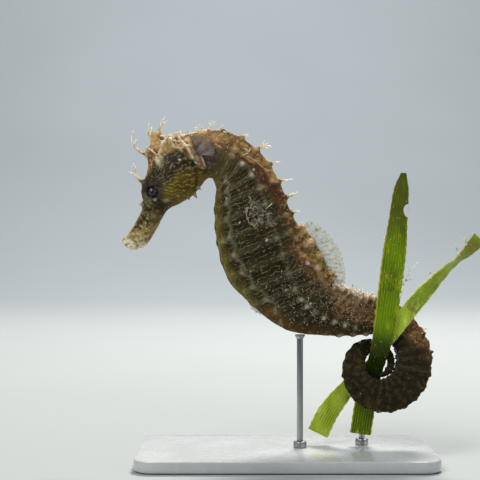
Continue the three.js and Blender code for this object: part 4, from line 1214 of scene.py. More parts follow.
def add_feeler(threads, root, at, heading, lean, hand, length, curl, radius, twigs):
    """A feeler, its twigs, and small buds here and there along it."""
    way, side = heading_way(heading, lean, hand), heading_way(heading + 90)
    threads.add(root - FEELER_SUNK * way, way, side, length + FEELER_SUNK, curl, radius, at)
    feeler = threads.rows[-1]
    for share, twig_heading, twig_length in twigs:
        fork = threads.along(feeler, [share])[0][0, 0]
        twig, twig_side = heading_way(twig_heading, lean, hand), heading_way(twig_heading + 90)
        bent = rng.uniform(-25, 25)
        thin = radius * TWIG_RADIUS_SHARE
        threads.add(fork, twig, twig_side, twig_length, bent, thin, at, share * 0.7)
        if twig_length > LONG_TWIG:
            feeler = np.concatenate([feeler, threads.rows[-1]])
    for row in feeler:
        for share in np.arange(0.35, 0.98, BUD_SPACING / row[LENGTH][0]):
            bud_place, ahead = threads.along(row[None], [share + rng.uniform(-0.05, 0.05)])
            ahead = ahead[0, 0]
            out = unit(rng.normal(size=3))
            bud = unit(out - (out @ ahead) * ahead + 0.5 * ahead)
            bud_length, bent = rng.uniform(0.3, 0.75), rng.uniform(-40, 40)
            start = max(row[START][0], share * 0.8)
            threads.add(bud_place[0, 0], bud, unit(np.cross(bud, ahead)), bud_length, bent,
                        radius * BUD_RADIUS_SHARE, at, start)


# Short thick tufts in a row along the top of the tail, and a few on the nape: first and last ring,
# spacing, corners and lengths.
TUFT_ROWS = [(12.2, 18.2, 0.2, (0.1, 1.9), (0.7, 1.4)), (-1.0, 0.9, 0.24, (0.2, 1.4), (0.5, 1.0))]
for first, last, spacing, corners, lengths in TUFT_ROWS:
    for ring in np.arange(first, last, spacing):
        tuft = [ring, rng.uniform(*corners), rng.uniform(50, 130), rng.uniform(8, 40)]
        tuft += [rng.uniform(*lengths), rng.uniform(-30, 30), rng.uniform(0.19, 0.3)]
        fore_twig = (0.35, rng.uniform(10, 70), rng.uniform(0.4, 0.7))
        rear_twig = (0.5, rng.uniform(110, 170), rng.uniform(0.4, 0.7))
        FEELERS.append((*tuft, [fore_twig, rear_twig]))
feelers = Threads()
for ring, corner, heading, lean, length, curl, radius, twigs in FEELERS:
    place, _, at = surface(ring, corner)
    add_feeler(feelers, place[0], at[0], heading, lean, -1, length, curl, radius, twigs)
    if corner > 0:
        place, _, at = surface(ring, ROUND - corner)
        heading += rng.uniform(-8, 8)
        add_feeler(feelers, place[0], at[0], heading, lean, 1, length * SHORTER_RIGHT, curl, radius, twigs)
for bearing, heading, length, curl, radius, twigs in CROWN_FEELERS:
    fore, aside = math.cos(math.radians(bearing)), math.sin(math.radians(bearing))
    root = crown_root + (CROWN_HEIGHT + 0.1) * crown_up
    root = root + CROWN_RIM_REACH * (fore * crown_fore + aside * np.array([0, 1, 0]))
    at = surface(CROWN_RING, 0.1)[2][0]
    lean, hand = 20 * abs(aside), math.copysign(1, aside)
    add_feeler(feelers, root, at, heading, lean, hand, length, curl, radius, twigs)
skin_feelers = feelers.grow("skin_feelers", sides=8, steps=10, lumps=0.18, taper=0.5)


def scatter(threads, count, rings, corners, length, curl, radius, stand, tone, rake=(0, 0, 0)):
    """Adds threads at random places between two rings and two corners, on both sides of the body.

    stand is how far they stand up, from 0 lying flat to 1 upright, and rake a way that they lean."""
    ring = rng.uniform(*rings, count)
    corner = rng.uniform(*corners, count)
    corner = np.where(rng.random(count) < 0.5, corner, ROUND - corner)
    place, out, at = surface(ring, corner)
    flat = rng.normal(size=(count, 3)) + RAKE_PULL * np.asarray(rake)
    flat = unit(flat - np.sum(flat * out, axis=1, keepdims=True) * out)
    up = rng.uniform(*stand, (count, 1))
    way = unit(out * up + flat * (1 - up))
    turned = np.cross(way, out) * rng.choice([-1, 1], (count, 1)) + 0.5 * out
    side = unit(turned - np.sum(turned * way, axis=1, keepdims=True) * way)
    sizes = [rng.uniform(*span, count) for span in (length, curl, radius)]
    threads.add(place - THREAD_SUNK * out, way, side, *sizes, at, tone=rng.uniform(*tone, count))


# Count, rings, corners, length, curl, radius, stand, tone and rake. Tone runs from white, by pink and
# tan, to brown.
FLANK_THREADS = [
    (330, (9.2, 14.5), (1.7, 4.6), (0.45, 1.2), (60, 230), (0.045, 0.075), (0.12, 0.5), (0.1, 0.6)),
    (260, (8.6, 14.0), (1.2, 3.6), (0.3, 0.9), (40, 200), (0.04, 0.065), (0.2, 0.7), (0.35, 0.8)),
    (160, (1.2, 9.5), (1.9, 5.4), (0.2, 0.45), (0, 90), (0.035, 0.055), (0.1, 0.6), (0.35, 0.65)),
    (300, (8.1, 11.2), (0.25, 1.7), (0.5, 1.25), (-30, 60), (0.05, 0.08), (0.4, 0.9), (0.6, 1), (1, 0, 0.3)),
    (120, (0.5, 8.0), (0.1, 1.5), (0.2, 0.5), (0, 60), (0.05, 0.08), (0.3, 0.9), (0.0, 0.6)),
]
TAIL_THREADS = [
    (330, (12.3, 19.2), (0, 2.0), (0.5, 1.3), (-40, 120), (0.07, 0.12), (0.5, 1.0), (0, 0.35), (0.2, 0, 1)),
    (190, (11.8, 18.6), (0, 1.7), (0.5, 1.3), (-70, 70), (0.16, 0.28), (0.6, 1.0), (0.03, 0.3), (0, 0, 1)),
    (80, (12.2, 18.4), (0.4, 1.8), (1.1, 1.9), (-80, 80), (0.24, 0.38), (0.6, 1.0), (0.01, 0.2), (0, 0, 1)),
    (320, (13.5, 19.5), (1.8, 4.6), (0.3, 0.8), (40, 200), (0.05, 0.08), (0.2, 0.7), (0.1, 0.7)),
    (60, (19.5, 40), (0.0, 2.4), (0.2, 0.6), (0, 90), (0.05, 0.08), (0.4, 1.0), (0.1, 0.6)),
    (40, (19.5, 40), (2.6, 5.0), (0.15, 0.35), (0, 120), (0.035, 0.05), (0.2, 0.7), (0.4, 0.8)),
]
HEAD_THREADS = [
    (150, (-1.3, 1.5), (0.1, 2.3), (0.3, 0.8), (-60, 120), (0.05, 0.09), (0.3, 1.0), (0.0, 0.4)),
    (90, (-2.6, -1.0), (0.2, 2.6), (0.2, 0.5), (-60, 120), (0.05, 0.08), (0.3, 1.0), (0.1, 0.5)),
    (60, (-7.2, -2.4), (5.6, 7.0), (0.2, 0.7), (-40, 40), (0.04, 0.06), (0.5, 1.0), (0.0, 0.3)),
    (70, (-7.0, -4.4), (0.0, 5.0), (0.15, 0.35), (0, 60), (0.05, 0.07), (0.3, 0.9), (0.0, 0.5)),
]
scattered = []
for table in (FLANK_THREADS, TAIL_THREADS, HEAD_THREADS):
    scattered.append(Threads())
    for numbers in table:
        scatter(scattered[-1], *numbers)
flank_threads, tail_threads, head_threads = scattered
thread_pieces = [
    flank_threads.grow("flank_threads"),
    tail_threads.grow("tail_threads", lumps=0.25, taper=0.35),
    head_threads.grow("head_threads"),
]

# A tangle of short stiff twigs that has settled high on each flank, and a pink forked thread over it.
# Ring, corner and count of the twigs, then ring, corner, heading, length, curl and tone of the threads.
TANGLE_MIDDLES = [(5.3, 2.95, 22), (5.6, 3.25, 20), (5.8, 2.8, 26), (6.1, 2.95, 22), (6.4, 2.45, 26)]
TANGLE_SPREAD = (0.45, 0.35)
LONG_THREADS = [
    (2.35, 2.0, -30, 3.2, -16, 0.3), (2.9, 1.8, -38, 4.2, -14, 0.35), (2.2, 1.7, 120, 1.2, 30, 0.05),
    (2.25, 1.7, 50, 1.1, 20, 0.05), (2.3, 1.75, 200, 1.6, 20, 0.1), (5.7, 2.35, 32, 2.0, 12, 0.0),
    (5.75, 2.4, 60, 1.0, -20, 0.0), (5.4, 3.6, -70, 3.6, 6, 0.4), (6.1, 2.8, 215, 3.1, -8, 0.38),
    (5.05, 3.0, 231, 2.5, 6, 0.4),
]
LONG_THREAD_RADIUS = 0.13
tangle = Threads()
for ring, corner, count in TANGLE_MIDDLES:
    rings, corners = ((middle - half, middle + half) for middle, half in zip((ring, corner), TANGLE_SPREAD))
    scatter(tangle, count, rings, corners, (0.5, 1.7), (-60, 60), (0.12, 0.27), (0.1, 0.45), (0.42, 0.6))
for ring, corner, heading, length, curl, tone in LONG_THREADS:
    for own_corner in (corner, ROUND - corner):
        place, out, at = surface(ring, own_corner)
        way = heading_way(heading) - (heading_way(heading) @ out[0]) * out[0]
        way = unit(way + 0.12 * out[0])
        side = unit(np.cross(np.cross(way, heading_way(heading + 90)), way))
        tangle.add(place + 0.05 * out, way, side, length, curl, LONG_THREAD_RADIUS, at, tone=tone)
thread_pieces.append(tangle.grow("flank_tangle", sides=6, steps=6, lumps=0.25, taper=0.35))

paint = Paint(
    "thread_skin", Roughness=0.5, Specular_IOR_Level=0.3, Subsurface_Weight=0.1, Subsurface_Scale=0.0004)
thin_color = paint.layers(
    "eee6d4",
    ("b99c80", ("tone", 0.0, 0.35)),
    ("8f8974", ("tone", 0.3, 0.52)),
    ("5a4520", ("tone", 0.6, 0.95)),
)
paint.set("Base Color", paint.layers(
    "ab8146",
    ("ead9b4", ("along", 0.0, 0.3)),
    ("fbf7ee", ("along", 0.3, 0.7)),
    ("d0b086", (paint.noise(1700, 2), 0.54, 0.68, 0.0, 0.7)),
    (thin_color, ("tone", 0.0, 0.02)),
))
paint.bump((paint.noise(3000, 2), 0.00005))
paint.cover(skin_feelers, *thread_pieces)
for piece in (skin_feelers, *thread_pieces):
    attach(piece, "root")


# ---- Fins -----------------------------------------------------------------------------------
# Each fin is a thin clear web between jointed rays: a tall one on the back, a small fan behind each
# gill cover, and a tiny one under the belly. The rays spread from a short root.
FIN_WEB_THICKNESS = 0.14
FIN_NOTCH = 0.3
WEB_STEPS = 6
WEB_ROWS = 15
RAY_SHARES = (-0.05, 0.46, 0.97)
RAY_RADIUS = 0.09
TALL_RAY_RADIUS = 0.12
RAY_MAP_PLACE = surface(8.0, 0.0)[2]
WEB_WAVE = 0.16


class Fan:
    """The spread of a fin: its rays, their roots and headings, their lengths, and how it stands."""

    def __init__(self, rays, root, root_end, headings, lengths, side=0.0, flare=0.0, sweep=8.0):
        self.rays, self.root, self.root_end, self.headings = rays, root, root_end, headings
        self.lengths, self.side, self.flare, self.sweep = lengths, side, flare, sweep

    def point(self, ray, share):
        """Places at ray numbers and at shares of the way out along them."""
        across = ray / (self.rays - 1)
        first, middle, last = self.lengths
        length = first + (last - first) * across + (middle - (first + last) / 2) * np.sin(math.pi * across)
        length = length - FIN_NOTCH * np.sin(math.pi * ray) ** 2
        heading = self.headings[0] + (self.headings[1] - self.headings[0]) * across - self.sweep * share
        heading = np.radians(heading)
        along_root = np.subtract(self.root_end, self.root)
        x = self.root[0] + along_root[0] * across + length * share * np.cos(heading)
        z = self.root[1] + along_root[1] * across + length * share * np.sin(heading)
        wave = WEB_WAVE * np.sin(ray * 1.1 + 2 * share) * np.clip(share, 0, 1)
        turn = math.radians(self.flare) * math.copysign(1, self.side or 1)
        x_out = self.root[0] + (x - self.root[0]) * math.cos(turn) - wave * math.sin(turn)
        y_out = self.side + (x - self.root[0]) * math.sin(turn) + wave * math.cos(turn)
        return np.stack([x_out, y_out, z], axis=-1)


fans = {
    "dorsal_fin": Fan(19, (3.9, 59.2), (11.0, 45.6), (60, -26), (4.0, 7.3, 5.0)),
    "pectoral_fin_left": Fan(16, (-23.7, 80.3), (-22.6, 78.7), (104, 2), (3.9, 5.2, 4.5), -4.6, 7),
    "pectoral_fin_right": Fan(16, (-23.7, 80.3), (-22.6, 78.7), (104, 2), (3.9, 5.2, 4.5), 4.6, 7),
    "anal_fin": Fan(4, (-7.4, 41.2), (-5.0, 39.6), (212, 236), (2.3, 2.9, 2.6), sweep=0.0),
}
webs = []
rays = []
for node, fan in fans.items():
    web, across, share = grid(f"{node}_web", (fan.rays - 1) * WEB_STEPS, WEB_ROWS)
    ray = across * (fan.rays - 1)
    set_points(web, fan.point(ray, share))
    add_mark(web, "ray", ray)
    add_mark(web, "out", share)
    modify(web, "SOLIDIFY", thickness=FIN_WEB_THICKNESS * MM, offset=0)
    bpy.ops.object.shade_smooth()
    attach(web, "root")
    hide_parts(node)
    webs.append(web)
    number = np.arange(fan.rays)
    foot, middle, tip = (fan.point(number, share) for share in RAY_SHARES)
    chord = unit(tip - foot)
    length = np.linalg.norm(tip - foot, axis=1)
    bulge = middle - (foot + tip) / 2
    side = unit(bulge - np.sum(bulge * chord, axis=1, keepdims=True) * chord)
    curl = -np.degrees(8 * np.linalg.norm(bulge, axis=1) / length)
    half = np.radians(curl / 2)[:, None]
    way = np.cos(half) * chord - np.sin(half) * side
    side = np.sin(half) * chord + np.cos(half) * side
    radius = TALL_RAY_RADIUS if node == "dorsal_fin" else RAY_RADIUS
    threads = Threads()
    threads.add(foot, way, side, length, curl, radius, RAY_MAP_PLACE)
    ray_set = threads.grow(f"{node}_rays", sides=6, steps=14, lumps=0.12, taper=0.74)
    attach(ray_set, "root")
    rays.append(ray_set)

paint = Paint("fin_web", Roughness=0.25, Specular_IOR_Level=0.4)
stripe = paint.math("COSINE", paint.times("ray", 2 * math.pi))
rib = paint.ease(stripe, 0.55, 0.98)
fork = paint.math("COSINE", paint.times("ray", 6 * math.pi))
branch = paint.times((fork, 0.5, 1.0), ("out", 0.4, 0.7))
foot = paint.ease("out", 0.36, 0.22)
foot_color = paint.mix((paint.noise(1500, 3, 0.6), 0.46, 0.56), "4a4016", "b5974c")
paint.set("Base Color", paint.layers(
    "a3855a",
    ("cfd9d2", ("out", 0.05, 0.6)),
    ("d8cfae", rib),
    ("ece9dc", branch),
    ("5f5f4e", (paint.noise(900, 3), 0.52, 0.66), 0.6),
    ("e6e4d4", ("out", 0.9, 1.0)),
    (foot_color, foot, 0.9),
))
# It is densest at its foot and along its rays, and frosted in patches.
frost = paint.times((paint.noise(800, 3), 0.44, 0.58), ("out", 0.35, 0.8), 0.35)
dense = paint.math("MULTIPLY_ADD", rib, 0.3, ("out", 0.0, 0.5, 0.55, 0.0))
dense = paint.math("ADD", dense, foot)
dense = paint.math("ADD", dense, paint.math("MULTIPLY_ADD", branch, 0.3, frost))
paint.set("Alpha", paint.math("ADD", dense, 0.28, clamp=True))
paint.bump((stripe, 0.00004))
paint.cover(webs[0], webs[3])

# The webs of the breast fins are smoky purple, and hide what is behind them.
paint = Paint("breast_fin_web", Roughness=0.4, Specular_IOR_Level=0.3)
stripe = paint.math("COSINE", paint.times("ray", 2 * math.pi))
paint.set("Base Color", paint.layers(
    "a3938a",
    ("6c5b58", (stripe, -0.4, 0.9)),
    ("b0935f", ("out", 0.35, 0.95), ("ray", 10.5, 6.0), 0.8),
    ("5d4c46", (paint.noise(1100, 3), 0.5, 0.64), 0.6),
))
paint.set("Alpha", paint.times(("out", 0.45, 1.0, 0.95, 0.3), ("ray", 0.0, 2.5, 0.35, 1.0)))
paint.bump((stripe, 0.00006))
paint.cover(webs[1], webs[2])

paint = Paint("fin_ray", Roughness=0.4, Subsurface_Weight=0.2, Subsurface_Scale=0.0005)
paint.set("Base Color", paint.layers(
    "b98b4e",
    ("ece2c8", ("along", 0.0, 0.3)),
    ("94835f", (paint.noise(1300, 2), 0.52, 0.66)),
))
paint.cover(rays[0], rays[3])
paint = Paint("breast_fin_ray", Roughness=0.45)
paint.set("Base Color", paint.mix((paint.noise(1300, 2), 0.4, 0.64), "77665f", "5b4c48"))
paint.cover(rays[1], rays[2])


# ---- Seagrass -------------------------------------------------------------------------------
# Two cut lengths of seagrass, the perch that the tail holds: long thin leaves with fine veins, cut
# square at the foot. One stands up and has been bitten, and the other slants and twists.
# Rows: share of the length, x, z and width of the middle line, and turn out of the X-Z plane.
UPRIGHT_BLADE = np.array([
    [0.0, 19.9, 6.0, 5.6, 0],
    [0.12, 21.1, 14.0, 5.6, 0],
    [0.2, 22.2, 19.4, 5.0, 0],
    [0.3, 24.0, 26.4, 4.8, 0],
    [0.42, 25.5, 34.0, 5.7, 0],
    [0.56, 26.8, 44.4, 6.0, 0],
    [0.7, 28.0, 54.0, 6.0, 0],
    [0.82, 28.9, 62.4, 4.8, 0],
    [0.93, 29.7, 70.0, 3.8, 0],
    [1.0, 30.3, 74.1, 1.2, 0],
])
SLANTING_BLADE = np.array([
    [0.0, 8.8, 6.0, 5.8, 0],
    [0.1, 11.8, 12.0, 5.6, 0],
    [0.22, 17.5, 19.2, 4.2, 0],
    [0.3, 22.0, 24.2, 2.6, 0],
    [0.36, 23.9, 27.4, 2.7, 0],
    [0.46, 27.4, 32.6, 3.9, 0],
    [0.6, 34.0, 41.2, 4.4, 12],
    [0.75, 40.6, 48.4, 4.4, 48],
    [0.84, 44.2, 51.6, 4.4, 64],
    [0.92, 47.6, 54.8, 4.3, 36],
    [1.0, 50.0, 57.4, 4.0, 10],
])
# How far back the blades stand, by height.
BLADE_LEAN = np.array([
    [6, 2.8], [14, 2.4], [19.2, 1.8], [23.1, 0.75], [25.5, -0.5], [27.3, -1.4], [32, -2.8], [36, -3.3],
    [45, -3.7], [75, -4.2],
])
BLADE_SPACING = 1.05
BLADE_THICKNESS = 0.42
BLADE_ROUNDING = 0.12
BLADE_COLUMNS = 18
BLADE_VEINS = 9
BLADE_CROWN = 0.12
EDGE_RAGGEDNESS = 0.02
EDGE_RIPPLE = 0.1
BITE = (31.5, 64.4)
BITE_RADIUS = 1.25
BITE_HEIGHT = 1.75


def blade_point(rows, behind, share, across):
    """Places on a blade at shares of its length, and across it from -0.5 to 0.5."""
    middle = smooth_rows(rows, np.clip(share, 0, 1))
    ahead = smooth_rows(rows, np.clip(share + 0.01, 0, 1))
    back = smooth_rows(rows, np.clip(share - 0.01, 0, 1))
    way = np.arctan2(ahead[:, 2] - back[:, 2], ahead[:, 1] - back[:, 1]) - math.pi / 2
    turn = np.radians(middle[:, 4])
    edge = np.abs(2 * across)
    ragged = 1 + np.sin(share * 210 + np.sign(across) * 2)
    width = middle[:, 3] * (1 - EDGE_RAGGEDNESS * edge * ragged)
    ripple = edge ** 3 * np.sin(share * 90 + 3 * np.sign(across))
    through = BLADE_CROWN * (1 - edge ** 2) + EDGE_RIPPLE * ripple
    in_plane = across * width * np.cos(turn) + through * np.sin(turn)
    out_of_plane = through * np.cos(turn) - across * width * np.sin(turn)
    x = middle[:, 1] + in_plane * np.cos(way)
    z = middle[:, 2] + in_plane * np.sin(way)
    lean = smooth_rows(BLADE_LEAN, np.clip(z, BLADE_LEAN[0, 0], BLADE_LEAN[-1, 0]))[:, 1]
    return np.stack([x, lean + behind - out_of_plane, z], axis=1)


def blade(name, rows, behind, steps):
    made, share, across = grid(name, steps, BLADE_COLUMNS)
    across = across - 0.5
    point = blade_point(rows, behind, share, across)
    if rows is UPRIGHT_BLADE:
        from_bite = (point[:, 2] - BITE[1]) / BITE_HEIGHT
        bitten = BITE[0] - BITE_RADIUS * np.sqrt(np.clip(1 - from_bite ** 2, 0, 1))
        edges = [blade_point(rows, behind, share, np.full_like(across, edge))[:, 0] for edge in (-0.5, 0.5)]
        left_over = np.clip((bitten - edges[0]) / (edges[1] - edges[0]), 0.1, 1)
        kept = np.where(np.abs(from_bite) < 1, left_over, 1)
        point = blade_point(rows, behind, share, (across + 0.5) * kept - 0.5)
    set_points(made, point)
    add_mark(made, "along", share)
    add_mark(made, "across", across)
    modify(made, "SOLIDIFY", thickness=BLADE_THICKNESS * MM, offset=0)
    modify(made, "BEVEL", width=BLADE_ROUNDING * MM, segments=2, angle_limit=math.radians(50))
    smooth_outside()
    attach(made, "root")
    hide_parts(name.replace("seagrass", "perch_blade"))
    return made


blades = [
    blade("seagrass_upright", UPRIGHT_BLADE, 0.0, 260),
    blade("seagrass_slanting", SLANTING_BLADE, BLADE_SPACING, 240),
]
# Each leaf's two greens, its pale veins and its brown, and how much shade falls on its foot.
for leaf_name, piece, (green, dark_green, pale, brown), shade in (
    ("upright_leaf", blades[0], ("668c04", "426404", "b0b41e", "5a4c1c"), 0.9),
    ("slanting_leaf", blades[1], ("b2cf30", "7c9c14", "e2e67c", "85763a"), 0.3),
# The slanting leaf's colours are paler and brighter, partly painted light shining through it from behind.
):
    paint = Paint(
        leaf_name, Roughness=0.42, Specular_IOR_Level=0.12, Subsurface_Weight=0.12, Subsurface_Scale=0.001)
    mottle = paint.noise(620, 4, 0.65, (1, 1, 0.35))
    veins = paint.math("COSINE", paint.times("across", 2 * math.pi * BLADE_VEINS))
    shaded = paint.times(("along", 0.1, 0.18), ("along", 0.45, 0.34), (mottle, 0.3, 0.6, 0.8, 1.0))
    paint.set("Base Color", paint.layers(
        green,
        (dark_green, (paint.noise(90, 3, 0.6, (1, 1, 0.45)), 0.4, 0.6)),
        (pale, (veins, 0.2, 1.0), 0.35),
        (pale, (mottle, 0.55, 0.72)),
        (pale, (paint.math("ABSOLUTE", "across"), 0.4, 0.5), 0.7),
        (brown, ("along", 0.62, 0.95), (mottle, 0.38, 0.58, 0.25, 1.0), 0.8),
        ("122203", shaded, shade),
        (brown, (paint.noise(200, 4, 0.7), 0.58, 0.68), 0.7),
        ("d8d8b4", (paint.cells(900), 0.14, 0.06), 0.8),
    ))
    paint.bump((veins, 0.00005), (mottle, 0.00012))
    paint.cover(piece)

# Fine white growth along the leaves' edges, and a few branching threads of weed: the leaf and
# how far back it stands, share of its length, place across it, heading, length and curl.
WEED = [
    (UPRIGHT_BLADE, 0.0, 0.53, 0.46, 78, 10.6, -30),
    (SLANTING_BLADE, BLADE_SPACING, 0.86, -0.5, 118, 2.6, -20),
    (SLANTING_BLADE, BLADE_SPACING, 0.92, -0.5, 96, 2.2, 30),
    (UPRIGHT_BLADE, 0.0, 0.6, 0.5, 30, 1.6, 60),
    (UPRIGHT_BLADE, 0.0, 0.74, -0.5, 160, 1.4, -50),
    (SLANTING_BLADE, BLADE_SPACING, 0.7, -0.5, 120, 1.6, -60),
]
MAP_MIDDLE = (0.5, 0.5)
growth = Threads()
for rows, behind, count, span in (
    (UPRIGHT_BLADE, 0.0, 240, (0.35, 1.0)),
    (SLANTING_BLADE, BLADE_SPACING, 220, (0.42, 1.0)),
):
    share = rng.uniform(*span, count)
    edge = rng.choice([-0.5, 0.5], count)
    root = blade_point(rows, behind, share, edge)
    inner = blade_point(rows, behind, share, edge * 0.9)
    way = unit(unit(root - inner) + rng.normal(scale=0.5, size=(count, 3)))
    side = unit(np.cross(way, rng.normal(size=(count, 3))))
    sizes = [rng.uniform(*limits, count) for limits in ((0.2, 0.6), (-60, 60), (0.035, 0.06))]
    growth.add(root - 0.1 * way, way, side, *sizes, MAP_MIDDLE, tone=rng.uniform(0.02, 0.3, count))
for rows, behind, share, edge, heading, length, curl in WEED:
    root = blade_point(rows, behind, np.array([share]), np.array([edge]))[0]
    twigs = [(0.45, heading - 40, length * 0.22), (0.7, heading + 30, length * 0.16)]
    add_feeler(growth, root, MAP_MIDDLE, heading, 6, 1, length, curl, 0.2, twigs)
leaf_growth = growth.grow("leaf_growth", sides=5, steps=6, lumps=0.2)
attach(leaf_growth, "root")
paint = Paint("leaf_growth", Roughness=0.6)
paint.set("Base Color", paint.layers(
    "efeee0",
    ("b4bd94", ("tone", 0.0, 0.3)),
    ("a3ab80", (paint.noise(1400, 2), 0.5, 0.64)),
))
paint.cover(leaf_growth)


# ---- Display stand --------------------------------------------------------------------------
# A polished pale acrylic plate with rounded corners. Two thin steel rods are screwed into it through
# small collars. One ends in a cup under the belly, and the other in a pad glued behind the seagrass.
# Rods: x, y, top and radius.
BASE_SIZE = (76, 40, 3)
BASE_CORNER = 5
BASE_CHAMFER = 0.45
BODY_ROD = (3.9, 0.0, 31.9, 0.8)
PERCH_ROD = (20.4, 4.15, 12.0, 0.75)
ROD_FOOT = BASE_SIZE[2] + 0.02
ROD_ROUNDING = 0.22
COLLAR_RADIUS = 1.7
COLLAR_HEIGHT = 1.6
CUP_TOP = 32.3
CUP_HEIGHT = 1.2
CUP_FLARE = 1.8
PAD_SIZE = (3.2, 0.74, 2.4)
PAD_PLACE = (20.5, 3.05, 10.6)


def block(place, sizes):
    """A box with its middle at a place, in millimetres."""
    bpy.ops.mesh.primitive_cube_add(size=1, location=Vector(place) * MM, scale=Vector(sizes) * MM)
    bpy.ops.object.transform_apply(location=True, rotation=True, scale=True)
    return bpy.context.object


def bar(x, y, low, high, radius):
    """A round bar that stands on end, in millimetres."""
    place = Vector((x, y, (low + high) / 2)) * MM
    bpy.ops.mesh.primitive_cylinder_add(
        vertices=40, radius=radius * MM, depth=(high - low) * MM, location=place)
    bpy.ops.object.transform_apply(location=True, rotation=True, scale=True)
    return bpy.context.object


stand_plate = block((0, 0, BASE_SIZE[2] / 2), BASE_SIZE)
stand_plate.name = stand_plate.data.name = "stand_plate"
bpy.context.tool_settings.mesh_select_mode = (False, True, False)
for edge in stand_plate.data.edges:
    ends = [stand_plate.data.vertices[i].co for i in edge.vertices]
    edge.select = abs(ends[0].z - ends[1].z) > MM
for polygon in stand_plate.data.polygons:
    polygon.select = False
bpy.ops.object.mode_set(mode="EDIT")
bpy.ops.mesh.bevel(offset=BASE_CORNER * MM, segments=12)
bpy.ops.object.mode_set(mode="OBJECT")
modify(stand_plate, "BEVEL", width=BASE_CHAMFER * MM, segments=3, angle_limit=math.radians(60))
bpy.ops.object.shade_smooth_by_angle(angle=math.radians(30))
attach(stand_plate, "root")
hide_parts("stand_base")
paint = Paint("pale_acrylic", Roughness=0.22, Coat_Weight=0.4, Coat_Roughness=0.08)
paint.set("Base Color", paint.mix((paint.noise(60, 3), 0.35, 0.65), "b9bcbd", "c4c7c8"))
paint.set("Roughness", (paint.noise(500, 3), 0.3, 0.7, 0.18, 0.3))
paint.cover(stand_plate)


def cup(x, y, radius):
    """The flared end of the rod under the belly."""
    made = bar(x, y, CUP_TOP - CUP_HEIGHT, CUP_TOP, radius)
    for vertex in made.data.vertices:
        if vertex.co.z > (CUP_TOP - CUP_HEIGHT / 2) * MM:
            vertex.co.x = x * MM + (vertex.co.x - x * MM) * CUP_FLARE
            vertex.co.y = y * MM + (vertex.co.y - y * MM) * CUP_FLARE
    return made


rods = []
for node, (x, y, top, radius) in (("stand_rod_body", BODY_ROD), ("stand_rod_perch", PERCH_ROD)):
    made = bar(x, y, ROD_FOOT, top, radius)
    made.name = made.data.name = node.replace("stand_rod", "steel_rod")
    collar = bar(x, y, ROD_FOOT, ROD_FOOT + COLLAR_HEIGHT, COLLAR_RADIUS)
    end = cup(x, y, radius) if node == "stand_rod_body" else block(PAD_PLACE, PAD_SIZE)
    for part in (collar, end, made):
        part.select_set(True)
    bpy.context.view_layer.objects.active = made
    bpy.ops.object.join()
    modify(made, "BEVEL", width=ROD_ROUNDING * MM, segments=3, angle_limit=math.radians(60))
    bpy.ops.object.shade_smooth_by_angle(angle=math.radians(35))
    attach(made, "root")
    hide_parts(node)
    rods.append(made)
paint = Paint("drawn_steel", Metallic=1.0)
drawn = (1, 1, 0.05)
paint.set("Base Color", paint.mix((paint.noise(900, 3, 0.6, drawn), 0.3, 0.7), "8f9294", "b5b8ba"))
paint.set("Roughness", (paint.noise(700, 3, 0.6, drawn), 0.3, 0.7, 0.25, 0.42))
paint.cover(*rods)


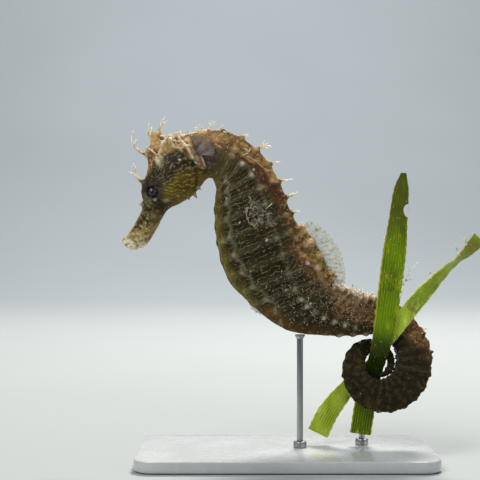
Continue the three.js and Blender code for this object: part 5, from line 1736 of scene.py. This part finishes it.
# ---- Floor, light and camera ----------------------------------------------------------------
# A plain pale floor that curves up into the wall behind, lit softly from above, in front and behind.
FLOOR_HALF = 1.6
FLOOR_DROP = 0.0002
SWEEP_RADIUS = 0.9
bpy.ops.mesh.primitive_plane_add(size=2 * FLOOR_HALF, location=(0, 0, -FLOOR_DROP))
floor = bpy.context.object
floor.name = "floor"
bpy.ops.object.mode_set(mode="EDIT")
bpy.ops.mesh.select_all(action="DESELECT")
bpy.ops.object.mode_set(mode="OBJECT")
for edge in floor.data.edges:
    edge.select = all(floor.data.vertices[i].co.y > 0 for i in edge.vertices)
bpy.context.tool_settings.mesh_select_mode = (False, True, False)
bpy.ops.object.mode_set(mode="EDIT")
bpy.ops.mesh.extrude_region_move(TRANSFORM_OT_translate={"value": (0, 0, 2 * FLOOR_HALF)})
bpy.ops.object.mode_set(mode="OBJECT")
for edge in floor.data.edges:
    ends = [floor.data.vertices[i].co for i in edge.vertices]
    edge.select = all(end.y > 0 and end.z < 0.1 for end in ends)
bpy.ops.object.mode_set(mode="EDIT")
bpy.ops.mesh.bevel(offset=SWEEP_RADIUS, segments=24)
bpy.ops.object.mode_set(mode="OBJECT")
bpy.ops.object.shade_smooth()
paint = Paint("pale_floor", Roughness=0.85)
paint.set("Base Color", paint.mix(paint.noise(6, 2), "a0a6a9", "a7adb0"))
paint.cover(floor)


def lamp(name, place, aim, size, power, color):
    """A square soft light at a place, facing aim."""
    bpy.ops.object.light_add(type="AREA", location=place)
    made = bpy.context.object
    made.name = name
    made.data.size = size
    made.data.energy = power
    made.data.color = color
    made.rotation_euler = (Vector(aim) - Vector(place)).to_track_quat("-Z", "Y").to_euler()


MIDDLE = (0.0, 0.0, 0.05)
lamp("key_light", (-0.35, -0.4, 0.6), MIDDLE, 0.3, 3.5, (1.0, 0.97, 0.92))
lamp("back_light", (0.1, 0.36, 0.62), MIDDLE, 0.2, 7.0, (1.0, 0.95, 0.86))
lamp("side_light", (0.6, -0.2, 0.3), MIDDLE, 0.4, 0.8, (0.92, 0.96, 1.0))
lamp("wall_light", (0.0, 0.7, 0.9), (0.0, 1.6, 0.3), 0.8, 10.0, (0.97, 0.98, 1.0))
world = bpy.data.worlds.new("studio")
world.use_nodes = True
sky = world.node_tree.nodes["Background"]
sky.inputs["Color"].default_value = (0.82, 0.88, 0.92, 1)
sky.inputs["Strength"].default_value = 0.24
bpy.context.scene.world = world
bpy.context.scene.view_settings.view_transform = "Standard"

CAMERA_PLACE = (-0.0117, -0.3, 0.0569)
SENSOR_WIDTH_MM = 36
FOCAL_LENGTH_MM = 86.5
bpy.ops.object.camera_add(location=CAMERA_PLACE, rotation=(math.radians(90), 0, 0))
camera = bpy.context.object
camera.data.sensor_width = SENSOR_WIDTH_MM
camera.data.lens = FOCAL_LENGTH_MM
camera.data.clip_start = 0.01
bpy.context.scene.camera = camera
